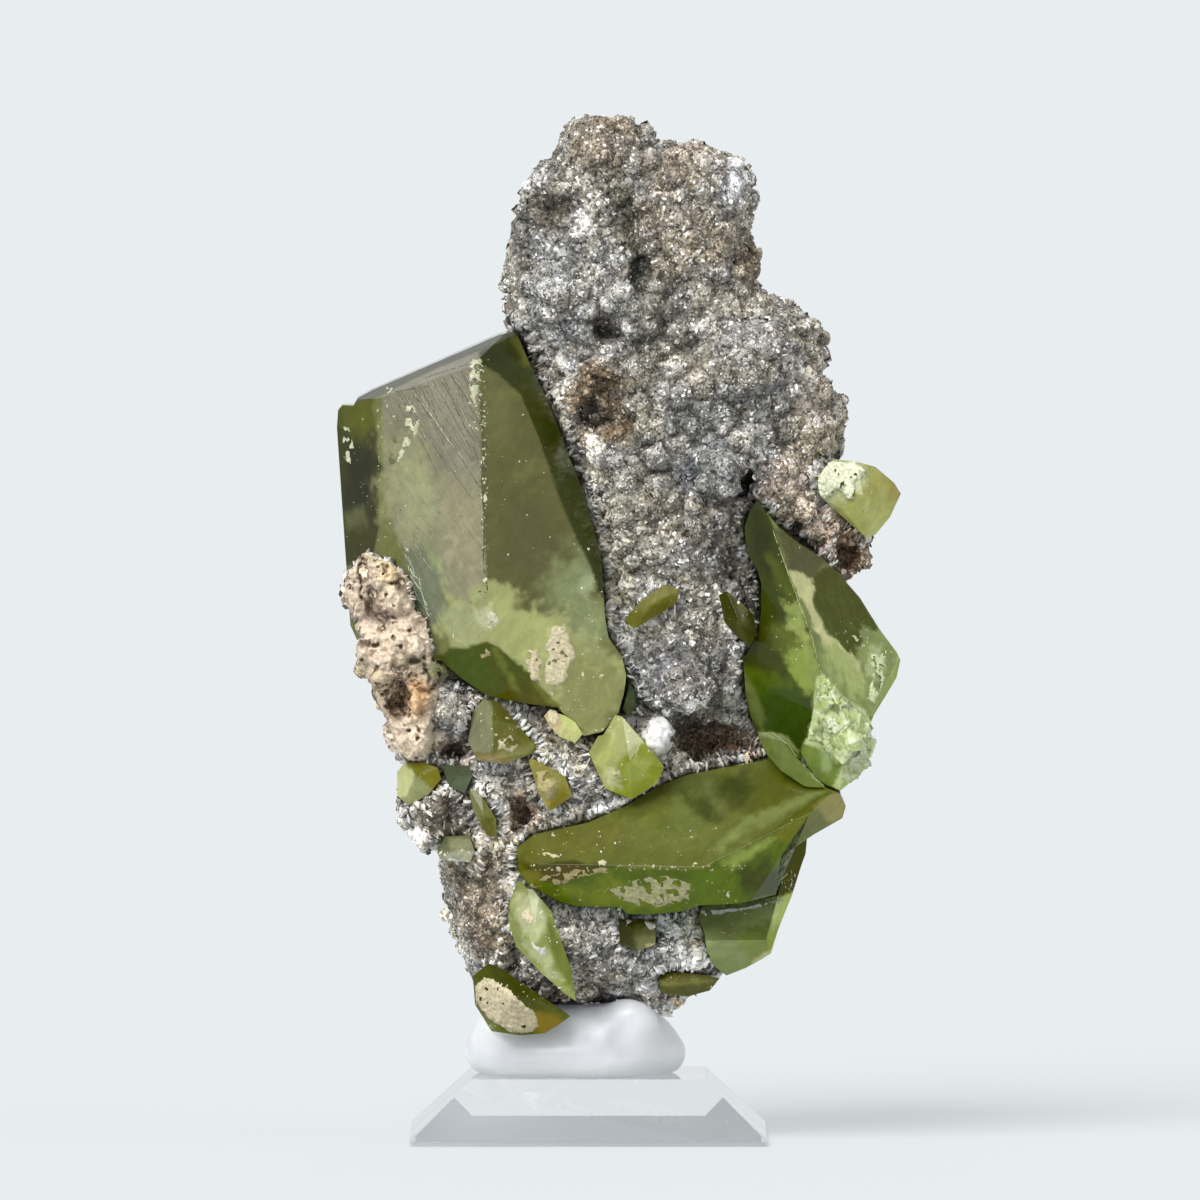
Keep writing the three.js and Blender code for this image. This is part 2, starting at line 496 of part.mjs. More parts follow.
const SMALL_CRYSTALS = {
  crystal_upper_right: [
    [22.0, -5.0, 61.2], [24.1, -5.6, 61.0], [25.8, -5.0, 60.5], [27.5, -4.0, 59.0],
    [28.1, -2.6, 58.0], [27.1, -3.4, 55.9], [25.8, -3.0, 54.3], [24.9, -4.0, 54.1],
    [22.8, -6.4, 56.7], [20.9, -6.2, 57.8], [20.6, -6.2, 59.4], [24.7, -7.4, 58.0],
    [22.4, 2.0, 60.2], [26.4, 1.6, 59.6], [26.8, 1.0, 57.2], [24.2, 1.5, 55.4],
  ],
  crystal_blade: [
    [11.7, -10.2, 49.2], [12.4, -11.0, 49.6], [13.6, -11.4, 48.7], [14.8, -11.0, 47.5],
    [15.1, -10.4, 45.7], [14.5, -10.6, 44.6], [13.2, -11.0, 45.6], [12.2, -10.8, 46.8],
    [13.4, -12.2, 47.2], [12.8, -7.0, 48.4], [14.6, -7.0, 46.0],
  ],
  crystal_leaf_upper: [
    [3.2, -10.0, 46.9], [4.7, -10.6, 48.8], [6.8, -10.8, 50.2], [8.2, -10.4, 49.7],
    [7.9, -10.4, 48.5], [6.2, -11.0, 47.4], [4.1, -10.6, 46.2], [5.6, -12.4, 48.3],
    [7.2, -11.8, 49.3], [4.4, -7.0, 47.4], [7.0, -7.0, 49.0],
  ],
  crystal_beside_left: [
    [3.3, -9.4, 41.6], [4.1, -9.8, 40.7], [4.3, -9.8, 39.2], [3.6, -10.2, 38.2],
    [2.9, -10.4, 39.2], [3.4, -11.0, 40.0], [3.4, -6.0, 41.0], [4.0, -6.0, 38.8],
  ],
  crystal_middle_lime: [
    [2.0, -11.0, 38.6], [3.0, -12.2, 38.4], [6.8, -12.4, 33.9], [6.2, -12.0, 32.4],
    [3.9, -11.6, 30.9], [1.5, -11.8, 31.9], [0.0, -11.4, 35.1], [3.7, -14.4, 34.5],
    [5.0, -13.8, 36.2], [1.6, -7.0, 36.8], [5.4, -7.0, 34.0], [3.2, -7.0, 31.8],
  ],
  crystal_under_left: [
    [-10.4, -10.0, 38.8], [-9.3, -10.2, 40.0], [-8.0, -10.6, 39.6], [-6.3, -11.2, 37.5],
    [-4.7, -10.6, 35.7], [-4.9, -10.6, 35.0], [-7.6, -12.0, 34.1], [-10.0, -11.2, 34.4],
    [-10.8, -10.6, 36.1], [-8.5, -12.6, 38.2], [-8.4, -13.2, 34.7], [-9.4, -6.5, 38.0],
    [-6.0, -6.5, 36.0], [-9.4, -6.5, 35.2],
  ],
  crystal_small_lime: [
    [-4.0, -11.6, 38.4], [-3.3, -11.6, 39.2], [-2.3, -12.0, 38.6], [-1.2, -12.6, 37.9],
    [-0.5, -12.0, 36.8], [-1.2, -12.2, 36.0], [-2.6, -12.6, 36.6], [-3.6, -12.4, 37.7],
    [-2.2, -13.4, 37.4], [-3.2, -9.6, 38.2], [-1.2, -9.6, 36.8],
  ],
  crystal_low_middle: [
    [-5.5, -10.6, 34.7], [-4.9, -11.2, 34.5], [-2.1, -11.6, 33.0], [-1.4, -11.2, 31.2],
    [-3.5, -11.4, 29.8], [-4.5, -12.2, 31.6], [-3.4, -13.0, 32.2], [-4.6, -7.0, 33.4],
    [-2.4, -7.0, 31.4],
  ],
  crystal_left_edge: [
    [-17.2, -8.4, 33.2], [-16.7, -9.0, 33.9], [-15.9, -9.6, 34.1], [-14.7, -10.2, 34.2],
    [-13.5, -10.6, 33.7], [-13.2, -10.6, 32.7], [-14.4, -10.0, 31.2], [-16.2, -8.6, 30.2],
    [-17.2, -7.8, 31.1], [-15.3, -11.2, 32.6], [-16.4, -5.0, 32.8], [-13.6, -5.0, 32.0],
  ],
  crystal_left_pale: [
    [-13.6, -8.4, 26.0], [-12.9, -9.0, 27.5], [-10.7, -9.6, 27.6], [-10.2, -9.8, 26.2],
    [-10.6, -9.8, 25.2], [-13.3, -9.0, 25.3], [-11.8, -10.6, 26.4], [-12.8, -5.5, 26.6],
    [-10.8, -5.5, 26.0],
  ],
  crystal_grey_blade: [
    [-13.4, -9.4, 33.9], [-10.7, -10.0, 33.9], [-10.4, -10.4, 33.0], [-11.1, -10.4, 31.4],
    [-12.5, -10.0, 32.0], [-11.6, -11.0, 33.0], [-12.4, -7.0, 33.0], [-11.0, -7.0, 32.4],
  ],
  crystal_thin_blade: [
    [-10.9, -10.4, 32.2], [-9.6, -11.0, 31.2], [-8.3, -10.8, 29.2], [-8.2, -10.0, 27.4],
    [-9.1, -10.4, 27.6], [-10.3, -10.8, 29.8], [-9.4, -11.6, 29.6], [-9.8, -7.6, 30.6],
    [-8.8, -7.6, 28.6],
  ],
  crystal_leaf_lower: [
    [-6.4, -10.8, 23.5], [-5.6, -11.2, 23.6], [-4.4, -12.2, 22.1], [-3.3, -12.4, 20.9],
    [-2.6, -12.2, 18.7], [-1.5, -11.2, 15.5], [-1.1, -10.4, 12.7], [-2.1, -10.8, 13.4],
    [-4.4, -12.0, 15.5], [-6.5, -11.6, 17.7], [-7.1, -11.0, 19.5], [-7.1, -10.8, 21.6],
    [-4.8, -13.6, 19.6], [-5.8, -7.4, 21.6], [-2.6, -7.4, 15.4],
  ],
  crystal_lower_left: [
    [-10.4, -8.8, 14.9], [-9.0, -9.6, 16.1], [-8.0, -10.4, 15.8], [-4.0, -11.4, 12.7],
    [-1.6, -10.6, 11.4], [-2.8, -10.2, 10.5], [-4.0, -10.0, 9.8], [-6.2, -9.4, 9.6],
    [-8.7, -8.4, 9.9], [-10.2, -8.2, 12.3], [-6.6, -12.0, 13.2], [-9.0, -3.0, 14.4],
    [-3.0, -4.0, 11.2], [-8.0, -3.0, 10.8],
  ],
  crystal_lower_dark: [
    [2.7, -10.0, 20.1], [6.2, -10.4, 20.1], [6.0, -10.2, 17.8], [4.6, -10.6, 17.3],
    [2.8, -10.2, 17.8], [4.4, -11.2, 19.0], [3.4, -7.0, 19.4], [5.6, -7.0, 18.4],
  ],
  crystal_lower_tail: [
    [5.8, -7.4, 14.6], [6.8, -7.8, 15.3], [10.3, -8.4, 15.0], [11.8, -7.0, 14.6],
    [10.9, -7.2, 13.5], [8.9, -7.8, 13.0], [6.8, -7.4, 13.2], [8.6, -9.6, 14.2],
    [7.4, -3.0, 14.6], [10.6, -3.0, 14.2],
  ],
};

// Quartz grain set in the rock
const QUARTZ_CENTRE = [6.1, -11.2, 36.4];
const QUARTZ_RADII = [1.05, 1.3, 1.6];
const QUARTZ_TILT = 0.55;

function quartzSolid(grow) {
  const geometry = new THREE.IcosahedronGeometry(1, 2);
  geometry.scale(...QUARTZ_RADII.map((radius) => radius + grow));
  geometry.rotateY(QUARTZ_TILT);
  geometry.translate(...QUARTZ_CENTRE);
  return toSolid(geometry);
}

// Tack: a pressed lump with a flared foot, flat where it sits on the base

function tackSolid() {
  const profile = TACK_PROFILE.map(
    ([radius, height]) => new THREE.Vector2(radius, BASE_HEIGHT + height));
  const side = new THREE.SplineCurve(profile.slice(1, -1)).getPoints(TACK_STEPS);
  const geometry = new THREE.LatheGeometry([profile[0], ...side, profile.at(-1)], TACK_SIDES);
  geometry.rotateX(Math.PI / 2);
  const points = geometry.attributes.position;
  const spot = new THREE.Vector3();
  for (let i = 0; i < points.count; i += 1) {
    spot.fromBufferAttribute(points, i);
    const dent = spot.clone().divideScalar(TACK_DENTS);
    const bulge = 1 + TACK_BULGE * noise.noise(dent.x, dent.y, dent.z + TACK_SHIFT);
    points.setXY(i, spot.x * bulge + TACK_MIDDLE[0], spot.y * bulge * TACK_DEPTH + TACK_MIDDLE[1]);
  }
  return TACK_LIPS.reduce((lump, lip) => lump.add(ballSolid(lip)), toSolid(geometry));
}

// Base: a square block with bevelled sides above a short upright foot

function baseSolid() {
  const corner = (width) => width / Math.SQRT2;
  const profile = [
    [0, 0], [corner(BASE_WIDTH), 0], [corner(BASE_WIDTH), BASE_FOOT],
    [corner(BASE_TOP_WIDTH), BASE_HEIGHT], [0, BASE_HEIGHT],
  ].map(([radius, height]) => new THREE.Vector2(radius, height));
  const geometry = new THREE.LatheGeometry(profile, 4, Math.PI / 4);
  geometry.rotateX(Math.PI / 2);
  return toSolid(geometry);
}

// Assembly: each crystal is cut clear of those before it, and the rock clear of them all

const crystals = [];

function addCrystal(name, build) {
  let solid = build(0);
  for (const other of crystals) solid = solid.subtract(other.socket);
  crystals.push({ name, solid: largestBody(solid), socket: build(GAP) });
}

addCrystal('crystal_left_large', (grow) => facetedSolid(largeLeft(), grow));
addCrystal('crystal_lower_long', (grow) => facetedSolid(lowerLong(), grow));
addCrystal('crystal_right_large', (grow) => facetedSolid(largeRight(), grow)
  .add(facetedSolid(brokenEnd(), grow))
  .add(gemSolid(BLADE_BELOW, grow)));
addCrystal('crystal_lower_right', (grow) => facetedSolid(lowerRight(), grow));
for (const [name, corners] of Object.entries(SMALL_CRYSTALS)) {
  addCrystal(name, (grow) => gemSolid(corners, grow));
}
addCrystal('quartz_grain', quartzSolid);

const sockets = wasm.Manifold.union(crystals.map((crystal) => crystal.socket));
const pits = wasm.Manifold.union(PITS.map((pit) => ballSolid(pit, 1)));
const rock = largestBody(rockSolid(0).subtract(pits).subtract(sockets));
const tack = largestBody(tackSolid().subtract(rockSolid(TACK_GAP)).subtract(sockets));

addPiece('matrix', rock, ROCK);
for (const { name, solid } of crystals) {
  const crystalFinish = LIME_PIECES.test(name) ? LIME : GREEN;
  const finish = name === 'quartz_grain' ? QUARTZ : crystalFinish;
  addPiece(name, solid, finish);
}
addPiece('mineral_tack', tack, TACK);
addPiece('acrylic_base', baseSolid(), ACRYLIC);

export default group;
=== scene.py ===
import json
import math
from itertools import product

import bmesh
import bpy
import numpy as np
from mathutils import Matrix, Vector
from mathutils.bvhtree import BVHTree


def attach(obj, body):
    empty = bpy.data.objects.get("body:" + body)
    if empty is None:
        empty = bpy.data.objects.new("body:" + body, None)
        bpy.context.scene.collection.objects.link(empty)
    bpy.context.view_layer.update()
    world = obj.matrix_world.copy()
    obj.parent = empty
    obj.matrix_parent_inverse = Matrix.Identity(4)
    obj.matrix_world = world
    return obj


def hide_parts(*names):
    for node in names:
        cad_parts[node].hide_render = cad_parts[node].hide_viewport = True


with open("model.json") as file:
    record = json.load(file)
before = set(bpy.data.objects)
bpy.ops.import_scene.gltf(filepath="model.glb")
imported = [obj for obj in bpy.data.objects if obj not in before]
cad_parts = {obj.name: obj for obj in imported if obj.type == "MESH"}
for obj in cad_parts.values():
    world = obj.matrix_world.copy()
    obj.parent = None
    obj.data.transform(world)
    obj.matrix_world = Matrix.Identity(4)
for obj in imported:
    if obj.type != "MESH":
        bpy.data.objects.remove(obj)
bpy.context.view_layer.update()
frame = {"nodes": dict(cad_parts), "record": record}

# Blender works in metres. The tables below are in millimetres and in pixels of the 1200 px photograph, and
# their colours are screen values from 0 to 255.
MM = 0.001
PIXEL = 0.09
MIDDLE_PX = 588.5
GROUND_PX = 1136.2
ELEVATION = math.radians(2.5)
RISE = math.tan(ELEVATION)

# Camera
CAMERA_DISTANCE = 3.0
SENSOR = 36.0
FRAME_MM = 108.0
AIM = Vector((1.035, 0.0, 48.31)) * MM

CRYSTALS = [name for name in frame["nodes"] if name.startswith("crystal_")]


def rgb(red, green, blue):
    """A colour given as 0 to 255 screen values, as linear numbers."""
    return tuple(((c / 255 + 0.055) / 1.055) ** 2.4 if c > 10 else c / 3294 for c in (red, green, blue))


def at(px, py, y):
    """The millimetre x and z of a pixel of the photograph, for a point at depth y."""
    return (px - MIDDLE_PX) * PIXEL, (GROUND_PX - py) * PIXEL - RISE * y


def seen_at(points):
    """The photograph's pixels at which millimetre points are seen."""
    return MIDDLE_PX + points[:, 0] / PIXEL, GROUND_PX - (points[:, 2] + RISE * points[:, 1]) / PIXEL


# Arrays: noise, shares and colours

HASH_SIZE = 4096
HASH_SEED = 11
HASH = np.random.default_rng(HASH_SEED).random(HASH_SIZE)
HASH_FACTORS = 73856093, 19349663, 83492791, 2654435
NOISE_OFFSET = 500.0
OCTAVES = 3


def lattice(cell, salt):
    """A fixed random number from 0 to 1 for each cell of a grid."""
    i, j, k = cell.T
    a, b, c, d = HASH_FACTORS
    return HASH[((i * a) ^ (j * b) ^ (k * c) ^ (salt * d)) & (HASH_SIZE - 1)]


def soft_noise(points, width, salt):
    """Smooth noise from 0 to 1 with features of about the given width."""
    p = points / width + NOISE_OFFSET
    base = np.floor(p).astype(np.int64)
    f = p - base
    f = f * f * (3 - 2 * f)
    total = np.zeros(len(points))
    for step in product((0, 1), repeat=3):
        x, y, z = np.abs(1 - np.array(step) - f).T
        total += x * y * z * lattice(base + step, salt)
    return total


def rough_noise(points, width, salt):
    """Several soft noises, each half the width and weight of the one before."""
    weights = [1 / 2**n for n in range(OCTAVES)]
    return sum(soft_noise(points, width * w, salt + n) * w for n, w in enumerate(weights)) / sum(weights)


def cells(points, width, salt):
    """The nearest of scattered seeds, in widths: its distance, the next one's distance, a number of its own
    and the way from it."""
    p = points / width + NOISE_OFFSET
    base = np.floor(p).astype(np.int64)
    near, second = np.full((2, len(points)), 9.0)
    own = np.zeros(len(points))
    way = np.zeros_like(p)
    for step in product((-1, 0, 1), repeat=3):
        cell = base + step
        seed = cell + np.stack([lattice(cell, salt + n) for n in (1, 2, 3)], axis=1)
        d = np.linalg.norm(p - seed, axis=1)
        closer = d < near
        second = np.where(closer, near, np.minimum(second, d))
        own = np.where(closer, lattice(cell, salt + 4), own)
        way = np.where(closer[:, None], p - seed, way)
        near = np.where(closer, d, near)
    return near, second, own, way


def smooth(value, low, high):
    """0 up to the low value, 1 from the high one on, and a soft step between them."""
    t = np.clip((value - low) / (high - low), 0, 1)
    return t * t * (3 - 2 * t)


def blend(tint, other, share):
    """Colours, mixed with others by a share for each point."""
    share = np.reshape(share, (-1, 1))
    return tint * (1 - share) + np.array(other) * share


def unit(rows):
    """Rows scaled to a length of 1."""
    return rows / np.linalg.norm(rows, axis=1, keepdims=True)


def from_centre(px, py, centre, reach):
    """How far pixels are from a centre, where the reach is 1."""
    return np.hypot((px - centre[0]) / reach[0], (py - centre[1]) / reach[1])


def depth_inside(outline, x, y):
    """How far points lie inside an outline, less than 0 outside."""
    within = np.zeros(len(x), bool)
    away = np.full(len(x), 1e9)
    for (ax, ay), (bx, by) in zip(outline, outline[1:] + outline[:1]):
        crossing = (ay > y) != (by > y)
        with np.errstate(divide="ignore", invalid="ignore"):
            within ^= crossing & (x < (bx - ax) * (y - ay) / (by - ay) + ax)
        length2 = max((bx - ax) ** 2 + (by - ay) ** 2, 1e-9)
        t = np.clip(((x - ax) * (bx - ax) + (y - ay) * (by - ay)) / length2, 0, 1)
        away = np.minimum(away, np.hypot(x - ax - t * (bx - ax), y - ay - t * (by - ay)))
    return np.where(within, away, -away)


# Meshes

WELD = 0.002
BEFORE_ALL = -60.0


def linked(name, data):
    """A new object of the scene."""
    item = bpy.data.objects.new(name, data)
    bpy.context.scene.collection.objects.link(item)
    return item


def put(name, mesh, look, replaces=()):
    """Adds a mesh as a piece of the object."""
    piece = linked(name, mesh)
    mesh.materials.clear()
    mesh.materials.append(look)
    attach(piece, "root")
    if replaces:
        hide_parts(*replaces)


def set_tints(mesh, tints, domain="POINT"):
    """Stores a colour for each point or corner of a mesh."""
    layer = mesh.color_attributes.new("tint", "FLOAT_COLOR", domain)
    layer.data.foreach_set("color", np.c_[np.asarray(tints), np.ones(len(tints))].astype(np.float32).ravel())


def set_points(mesh, points):
    """Moves a mesh's points to millimetre places."""
    mesh.vertices.foreach_set("co", (np.asarray(points) * MM).astype(np.float32).ravel())


def mesh_of(name, points, faces, tints):
    """A mesh from millimetre points, a list of equal-length face index arrays and a colour for each point."""
    mesh = bpy.data.meshes.new(name)
    groups = [np.asarray(f, np.int32) for f in faces]
    loops = np.concatenate([g.ravel() for g in groups])
    sizes = np.concatenate([np.full(len(g), g.shape[1], np.int32) for g in groups])
    mesh.vertices.add(len(points))
    set_points(mesh, points)
    mesh.loops.add(len(loops))
    mesh.loops.foreach_set("vertex_index", loops)
    mesh.polygons.add(len(sizes))
    mesh.polygons.foreach_set("loop_start", np.concatenate([[0], np.cumsum(sizes)[:-1]]).astype(np.int32))
    mesh.polygons.foreach_set("loop_total", sizes)
    mesh.update(calc_edges=True)
    mesh.validate()
    set_tints(mesh, tints)
    return mesh


def points_of(mesh):
    """A mesh's points in millimetres and its normals."""
    points = np.empty(len(mesh.vertices) * 3, np.float32)
    normals = np.empty_like(points)
    mesh.vertices.foreach_get("co", points)
    mesh.vertices.foreach_get("normal", normals)
    return points.reshape(-1, 3) / MM, normals.reshape(-1, 3).astype(float)


def opened(mesh):
    """A mesh's faces to be edited, with the points that they share joined."""
    work = bmesh.new()
    work.from_mesh(mesh)
    bmesh.ops.remove_doubles(work, verts=work.verts, dist=WELD * MM)
    return work


def remeshed(mesh, voxel):
    """A copy of a mesh with even faces of about the voxel size, in millimetres."""
    scratch = linked("scratch", mesh)
    modifier = scratch.modifiers.new("even", "REMESH")
    modifier.mode = "VOXEL"
    modifier.voxel_size = voxel * MM
    modifier.use_smooth_shade = True
    graph = bpy.context.evaluated_depsgraph_get()
    result = bpy.data.meshes.new_from_object(scratch.evaluated_get(graph), depsgraph=graph)
    bpy.data.objects.remove(scratch)
    return result


def tree_of(meshes):
    """A search tree over meshes, in metres."""
    points, faces = [], []
    for mesh in meshes:
        start = len(points)
        points += [v.co.copy() for v in mesh.vertices]
        faces += [[start + i for i in p.vertices] for p in mesh.polygons]
    return BVHTree.FromPolygons(points, faces)


def pick(tree, px, py):
    """The point and normal of a tree's surface seen at a pixel of the photograph, in millimetres, or None."""
    x, z = at(px, py, BEFORE_ALL)
    hit, normal, _, _ = tree.ray_cast(Vector((x, BEFORE_ALL, z)) * MM, Vector((0, 1, -RISE)).normalized())
    return None if hit is None else (np.array(hit) / MM, np.array(normal))


# Materials

FACING = (0.97, 0.99)


class Look:
    """A material of nodes that works in millimetres of the object's own space."""

    def __init__(self, name, **settings):
        self.material = bpy.data.materials.new(name)
        self.material.use_nodes = True
        self.tree = self.material.node_tree
        self.tree.nodes.clear()
        self.shader = self.add("BsdfPrincipled")
        self.output = self.add("OutputMaterial", {"Surface": self.shader.outputs[0]})
        own = self.add("TexCoord").outputs["Object"]
        self.place = self.add("VectorMath", {0: own, "Scale": 1 / MM}, operation="SCALE").outputs[0]
        self.done(**settings)

    def set(self, socket, value):
        if isinstance(value, bpy.types.NodeSocket):
            self.tree.links.new(value, socket)
        elif socket.type == "RGBA":
            socket.default_value = (*value, 1.0)
        else:
            socket.default_value = value

    def add(self, kind, values=(), **settings):
        node = self.tree.nodes.new("ShaderNode" + kind)
        for key, value in settings.items():
            setattr(node, key, value)
        for key, value in dict(values).items():
            self.set(node.inputs[key], value)
        return node

    def noise(self, width, detail=3.0, rough=0.5, place=None, output=0):
        return self.add("TexNoise", {"Vector": place or self.place, "Scale": 1 / width, "Detail": detail,
                                     "Roughness": rough}).outputs[output]

    def cells(self, width, output):
        return self.add("TexVoronoi", {"Vector": self.place, "Scale": 1 / width}).outputs[output]

    def math(self, operation, a, b=0.0):
        return self.add("Math", {0: a, 1: b}, operation=operation).outputs[0]

    def span(self, value, low, high, to=(0.0, 1.0)):
        """A soft step from one end of the second range to the other."""
        node = self.add("MapRange", {"Value": value, "From Min": low, "From Max": high, "To Min": to[0],
                                     "To Max": to[1]}, interpolation_type="SMOOTHSTEP")
        return node.outputs[0]

    def mix(self, share, a, b, kind="MIX"):
        node = self.add("Mix", data_type="RGBA", blend_type=kind)
        for key, value in ((0, share), (6, a), (7, b)):
            self.set(node.inputs[key], value)
        return node.outputs[2]

    def tint(self, shade=None):
        """The mesh's own colour, made darker or lighter by a shade if there is one."""
        tint = self.add("Attribute", attribute_name="tint").outputs["Color"]
        if shade is None:
            return tint
        grey = self.add("CombineColor", {0: shade, 1: shade, 2: shade}).outputs[0]
        return self.mix(1.0, tint, grey, "MULTIPLY")

    def warped(self, width, amount):
        """Coordinates that wander by up to the amount."""
        colour = self.noise(width, 2.0, output=1)
        shift = self.add("VectorMath", {0: colour, 1: (0.5, 0.5, 0.5)}, operation="SUBTRACT").outputs[0]
        shift = self.add("VectorMath", {0: shift, "Scale": amount * 2}, operation="SCALE").outputs[0]
        return self.add("VectorMath", {0: self.place, 1: shift}, operation="ADD").outputs[0]

    def stretched(self, turn, along, place):
        """Coordinates for streaks that run at an angle in the front view, in degrees from the right."""
        return self.add("Mapping", {"Vector": place, "Rotation": (0, -math.radians(turn), 0),
                                    "Scale": (along, 1.0, 1.0)}, vector_type="TEXTURE").outputs[0]

    def facing(self, direction):
        """1 on faces that look in a direction."""
        normal = self.add("NewGeometry").outputs["True Normal"]
        way = tuple(np.array(direction) / np.linalg.norm(direction))
        dot = self.add("VectorMath", {0: normal, 1: way}, operation="DOT_PRODUCT").outputs["Value"]
        return self.span(dot, *FACING)

    def bump(self, height, strength, distance):
        values = {"Height": height, "Strength": strength, "Distance": distance * MM}
        return self.add("Bump", values).outputs[0]

    def done(self, **settings):
        """Sets or links the shader's inputs, and gives the material."""
        for key, value in settings.items():
            self.set(self.shader.inputs[key.replace("_", " ")], value)
        return self.material


# Camera, floor, sky and suns

camera = linked("camera", bpy.data.cameras.new("camera"))
camera.data.sensor_width = SENSOR
camera.data.lens = SENSOR * CAMERA_DISTANCE / (FRAME_MM * MM)
camera.data.clip_end = 100.0
camera.location = AIM + CAMERA_DISTANCE * Vector((0, -math.cos(ELEVATION), math.sin(ELEVATION)))
camera.rotation_mode = "QUATERNION"
camera.rotation_quaternion = (AIM - camera.location).to_track_quat("-Z", "Y")
bpy.context.scene.camera = camera
bpy.context.scene.view_settings.view_transform = "Standard"

FLOOR_RADIUS = 30.0
FLOOR_SIDES = 96
FLOOR_DROP = 0.00005
KEY = Vector((0.36, 0.62, -0.70)).normalized()
# name, direction, strength, spread in degrees
SUNS = [
    ("key", KEY, 3.7, 40),
    ("sheen", Vector((0.60, 0.79, 0.10)), 0.5, 40),
    ("fill", Vector((-0.20, 0.90, 0.38)), 0.8, 60),
    ("rim", Vector((-0.75, 0.25, -0.6)), 0.4, 50),
]
# the sky is brightest behind the object: how far round its rise starts and ends, and its strength there
SKY = {"From Min": 0.5, "From Max": 0.98, "To Min": 0.44, "To Max": 0.885}


def make_floor():
    """A round pale floor, larger than the view."""
    mesh = bpy.data.meshes.new("floor")
    turns = np.linspace(0, 2 * math.pi, FLOOR_SIDES, endpoint=False)
    rim = [(FLOOR_RADIUS * math.cos(a), FLOOR_RADIUS * math.sin(a), -FLOOR_DROP) for a in turns]
    mesh.from_pydata(rim, [], [list(range(FLOOR_SIDES))])
    mesh.materials.append(Look(
        "floor_paper", Base_Color=rgb(140, 143, 144), Roughness=0.9, Specular_IOR_Level=0.0,
        Emission_Color=rgb(232, 237, 240), Emission_Strength=0.56).material)
    linked("floor", mesh)


def make_light():
    """A soft sky and four soft suns."""
    world = bpy.data.worlds.new("studio")
    bpy.context.scene.world = world
    world.use_nodes = True
    tree = world.node_tree
    ground = tree.nodes["Background"]
    coords = tree.nodes.new("ShaderNodeTexCoord").outputs["Generated"]
    split = tree.nodes.new("ShaderNodeSeparateXYZ")
    tree.links.new(coords, split.inputs[0])
    spread = tree.nodes.new("ShaderNodeMapRange")
    spread.interpolation_type = "SMOOTHSTEP"
    for name, value in SKY.items():
        spread.inputs[name].default_value = value
    tree.links.new(split.outputs["Y"], spread.inputs["Value"])
    tree.links.new(spread.outputs[0], ground.inputs["Strength"])
    ground.inputs["Color"].default_value = (0.96, 0.98, 1.0, 1)
    for name, direction, strength, degrees in SUNS:
        light = bpy.data.lights.new(name, "SUN")
        light.energy = strength
        light.angle = math.radians(degrees)
        holder = linked(name, light)
        holder.rotation_mode = "QUATERNION"
        holder.rotation_quaternion = direction.to_track_quat("-Z", "Y")


make_floor()
make_light()

# Crystals: flat faces with worn edges, cut fine at the front so that colour can vary over them

GREEN_ABSORB = (0.75, 0.84, 0.02)
ABSORB_DENSITY = 260.0
GLOSS_ADDS, GLOSS_LEAVES = 0.021, 0.92
GLASS_LEAST, GLASS_MOST = 0.002, 0.85
FINE_STEP = 0.42
FINE_ROUNDS = 10
FRONT_FACING = -0.05
FLAT_ANGLE, EDGE_ANGLE = math.radians(1.0), math.radians(14)
LARGE_WEAR, SMALL_WEAR = 0.10, 0.05
DULL_WITHIN = 0.985
CORNER_PULL = 0.06
VEIL = 0.22
# how much light faces get: away from the key light, more for those that face it, and the least and most
LIT_AWAY, LIT_MORE, LIT_LEAST, LIT_MOST = 0.45, 0.92, 0.6, 1.2


def glass(red, green, blue):
    """The body colour that looks like these screen values once the gloss lies over it."""
    return tuple(max(GLASS_LEAST, (c - GLOSS_ADDS) / GLOSS_LEAVES) for c in rgb(red, green, blue))


def crystal_look(name, transmission, ripples=None):
    """Cloudy clear crystal with the mesh's colour, wisps and grime. Ripples are growth steps on one face: the
    way it looks, the steps' angle and their colour."""
    look = Look(name, IOR=1.45, Transmission_Weight=transmission, Specular_IOR_Level=0.15)
    streaks = look.stretched(50, 2.4, look.warped(1.6, 0.7))
    colour = look.tint(look.span(look.noise(1.0, 6.0, 0.7, place=streaks), 0.3, 0.7, (0.87, 1.13)))
    height = look.math("MULTIPLY", look.noise(0.35, 3.0, 0.7), 0.25)
    roughness = look.span(look.noise(1.6, 4.0, 0.6), 0.35, 0.75, (0.045, 0.198))
    if ripples:
        direction, turn, tone = ripples
        where = look.facing(direction)
        steps = look.noise(0.75, 2.0, 0.5, place=look.stretched(turn, 16.0, look.warped(5.0, 0.6)))
        sharp = look.math("FRACT", look.math("MULTIPLY", steps, 7.0))
        height = look.math("ADD", height, look.math("MULTIPLY", look.math("MULTIPLY", sharp, where), 0.9))
        line = look.math("MULTIPLY", look.span(sharp, 0.12, 0.0), look.span(look.noise(1.5), 0.4, 0.6))
        colour = look.mix(look.math("MULTIPLY", look.math("MULTIPLY", line, where), 0.55), colour, tone)
    volume = look.add("VolumeAbsorption", {"Color": GREEN_ABSORB, "Density": ABSORB_DENSITY})
    look.tree.links.new(volume.outputs[0], look.output.inputs["Volume"])
    return look.done(Base_Color=colour, Roughness=roughness, Normal=look.bump(height, 0.3, 0.12))


def cut_fine(work, step):
    """Halves the long edges of front faces until none is longer than the step in millimetres."""
    for _ in range(FINE_ROUNDS):
        work.normal_update()
        long = [e for e in work.edges
                if e.calc_length() > step * MM and any(f.normal.y < FRONT_FACING for f in e.link_faces)]
        if not long:
            return
        bmesh.ops.subdivide_edges(work, edges=long, cuts=1)
        bmesh.ops.triangulate(work, faces=[f for f in work.faces if len(f.verts) > 3])


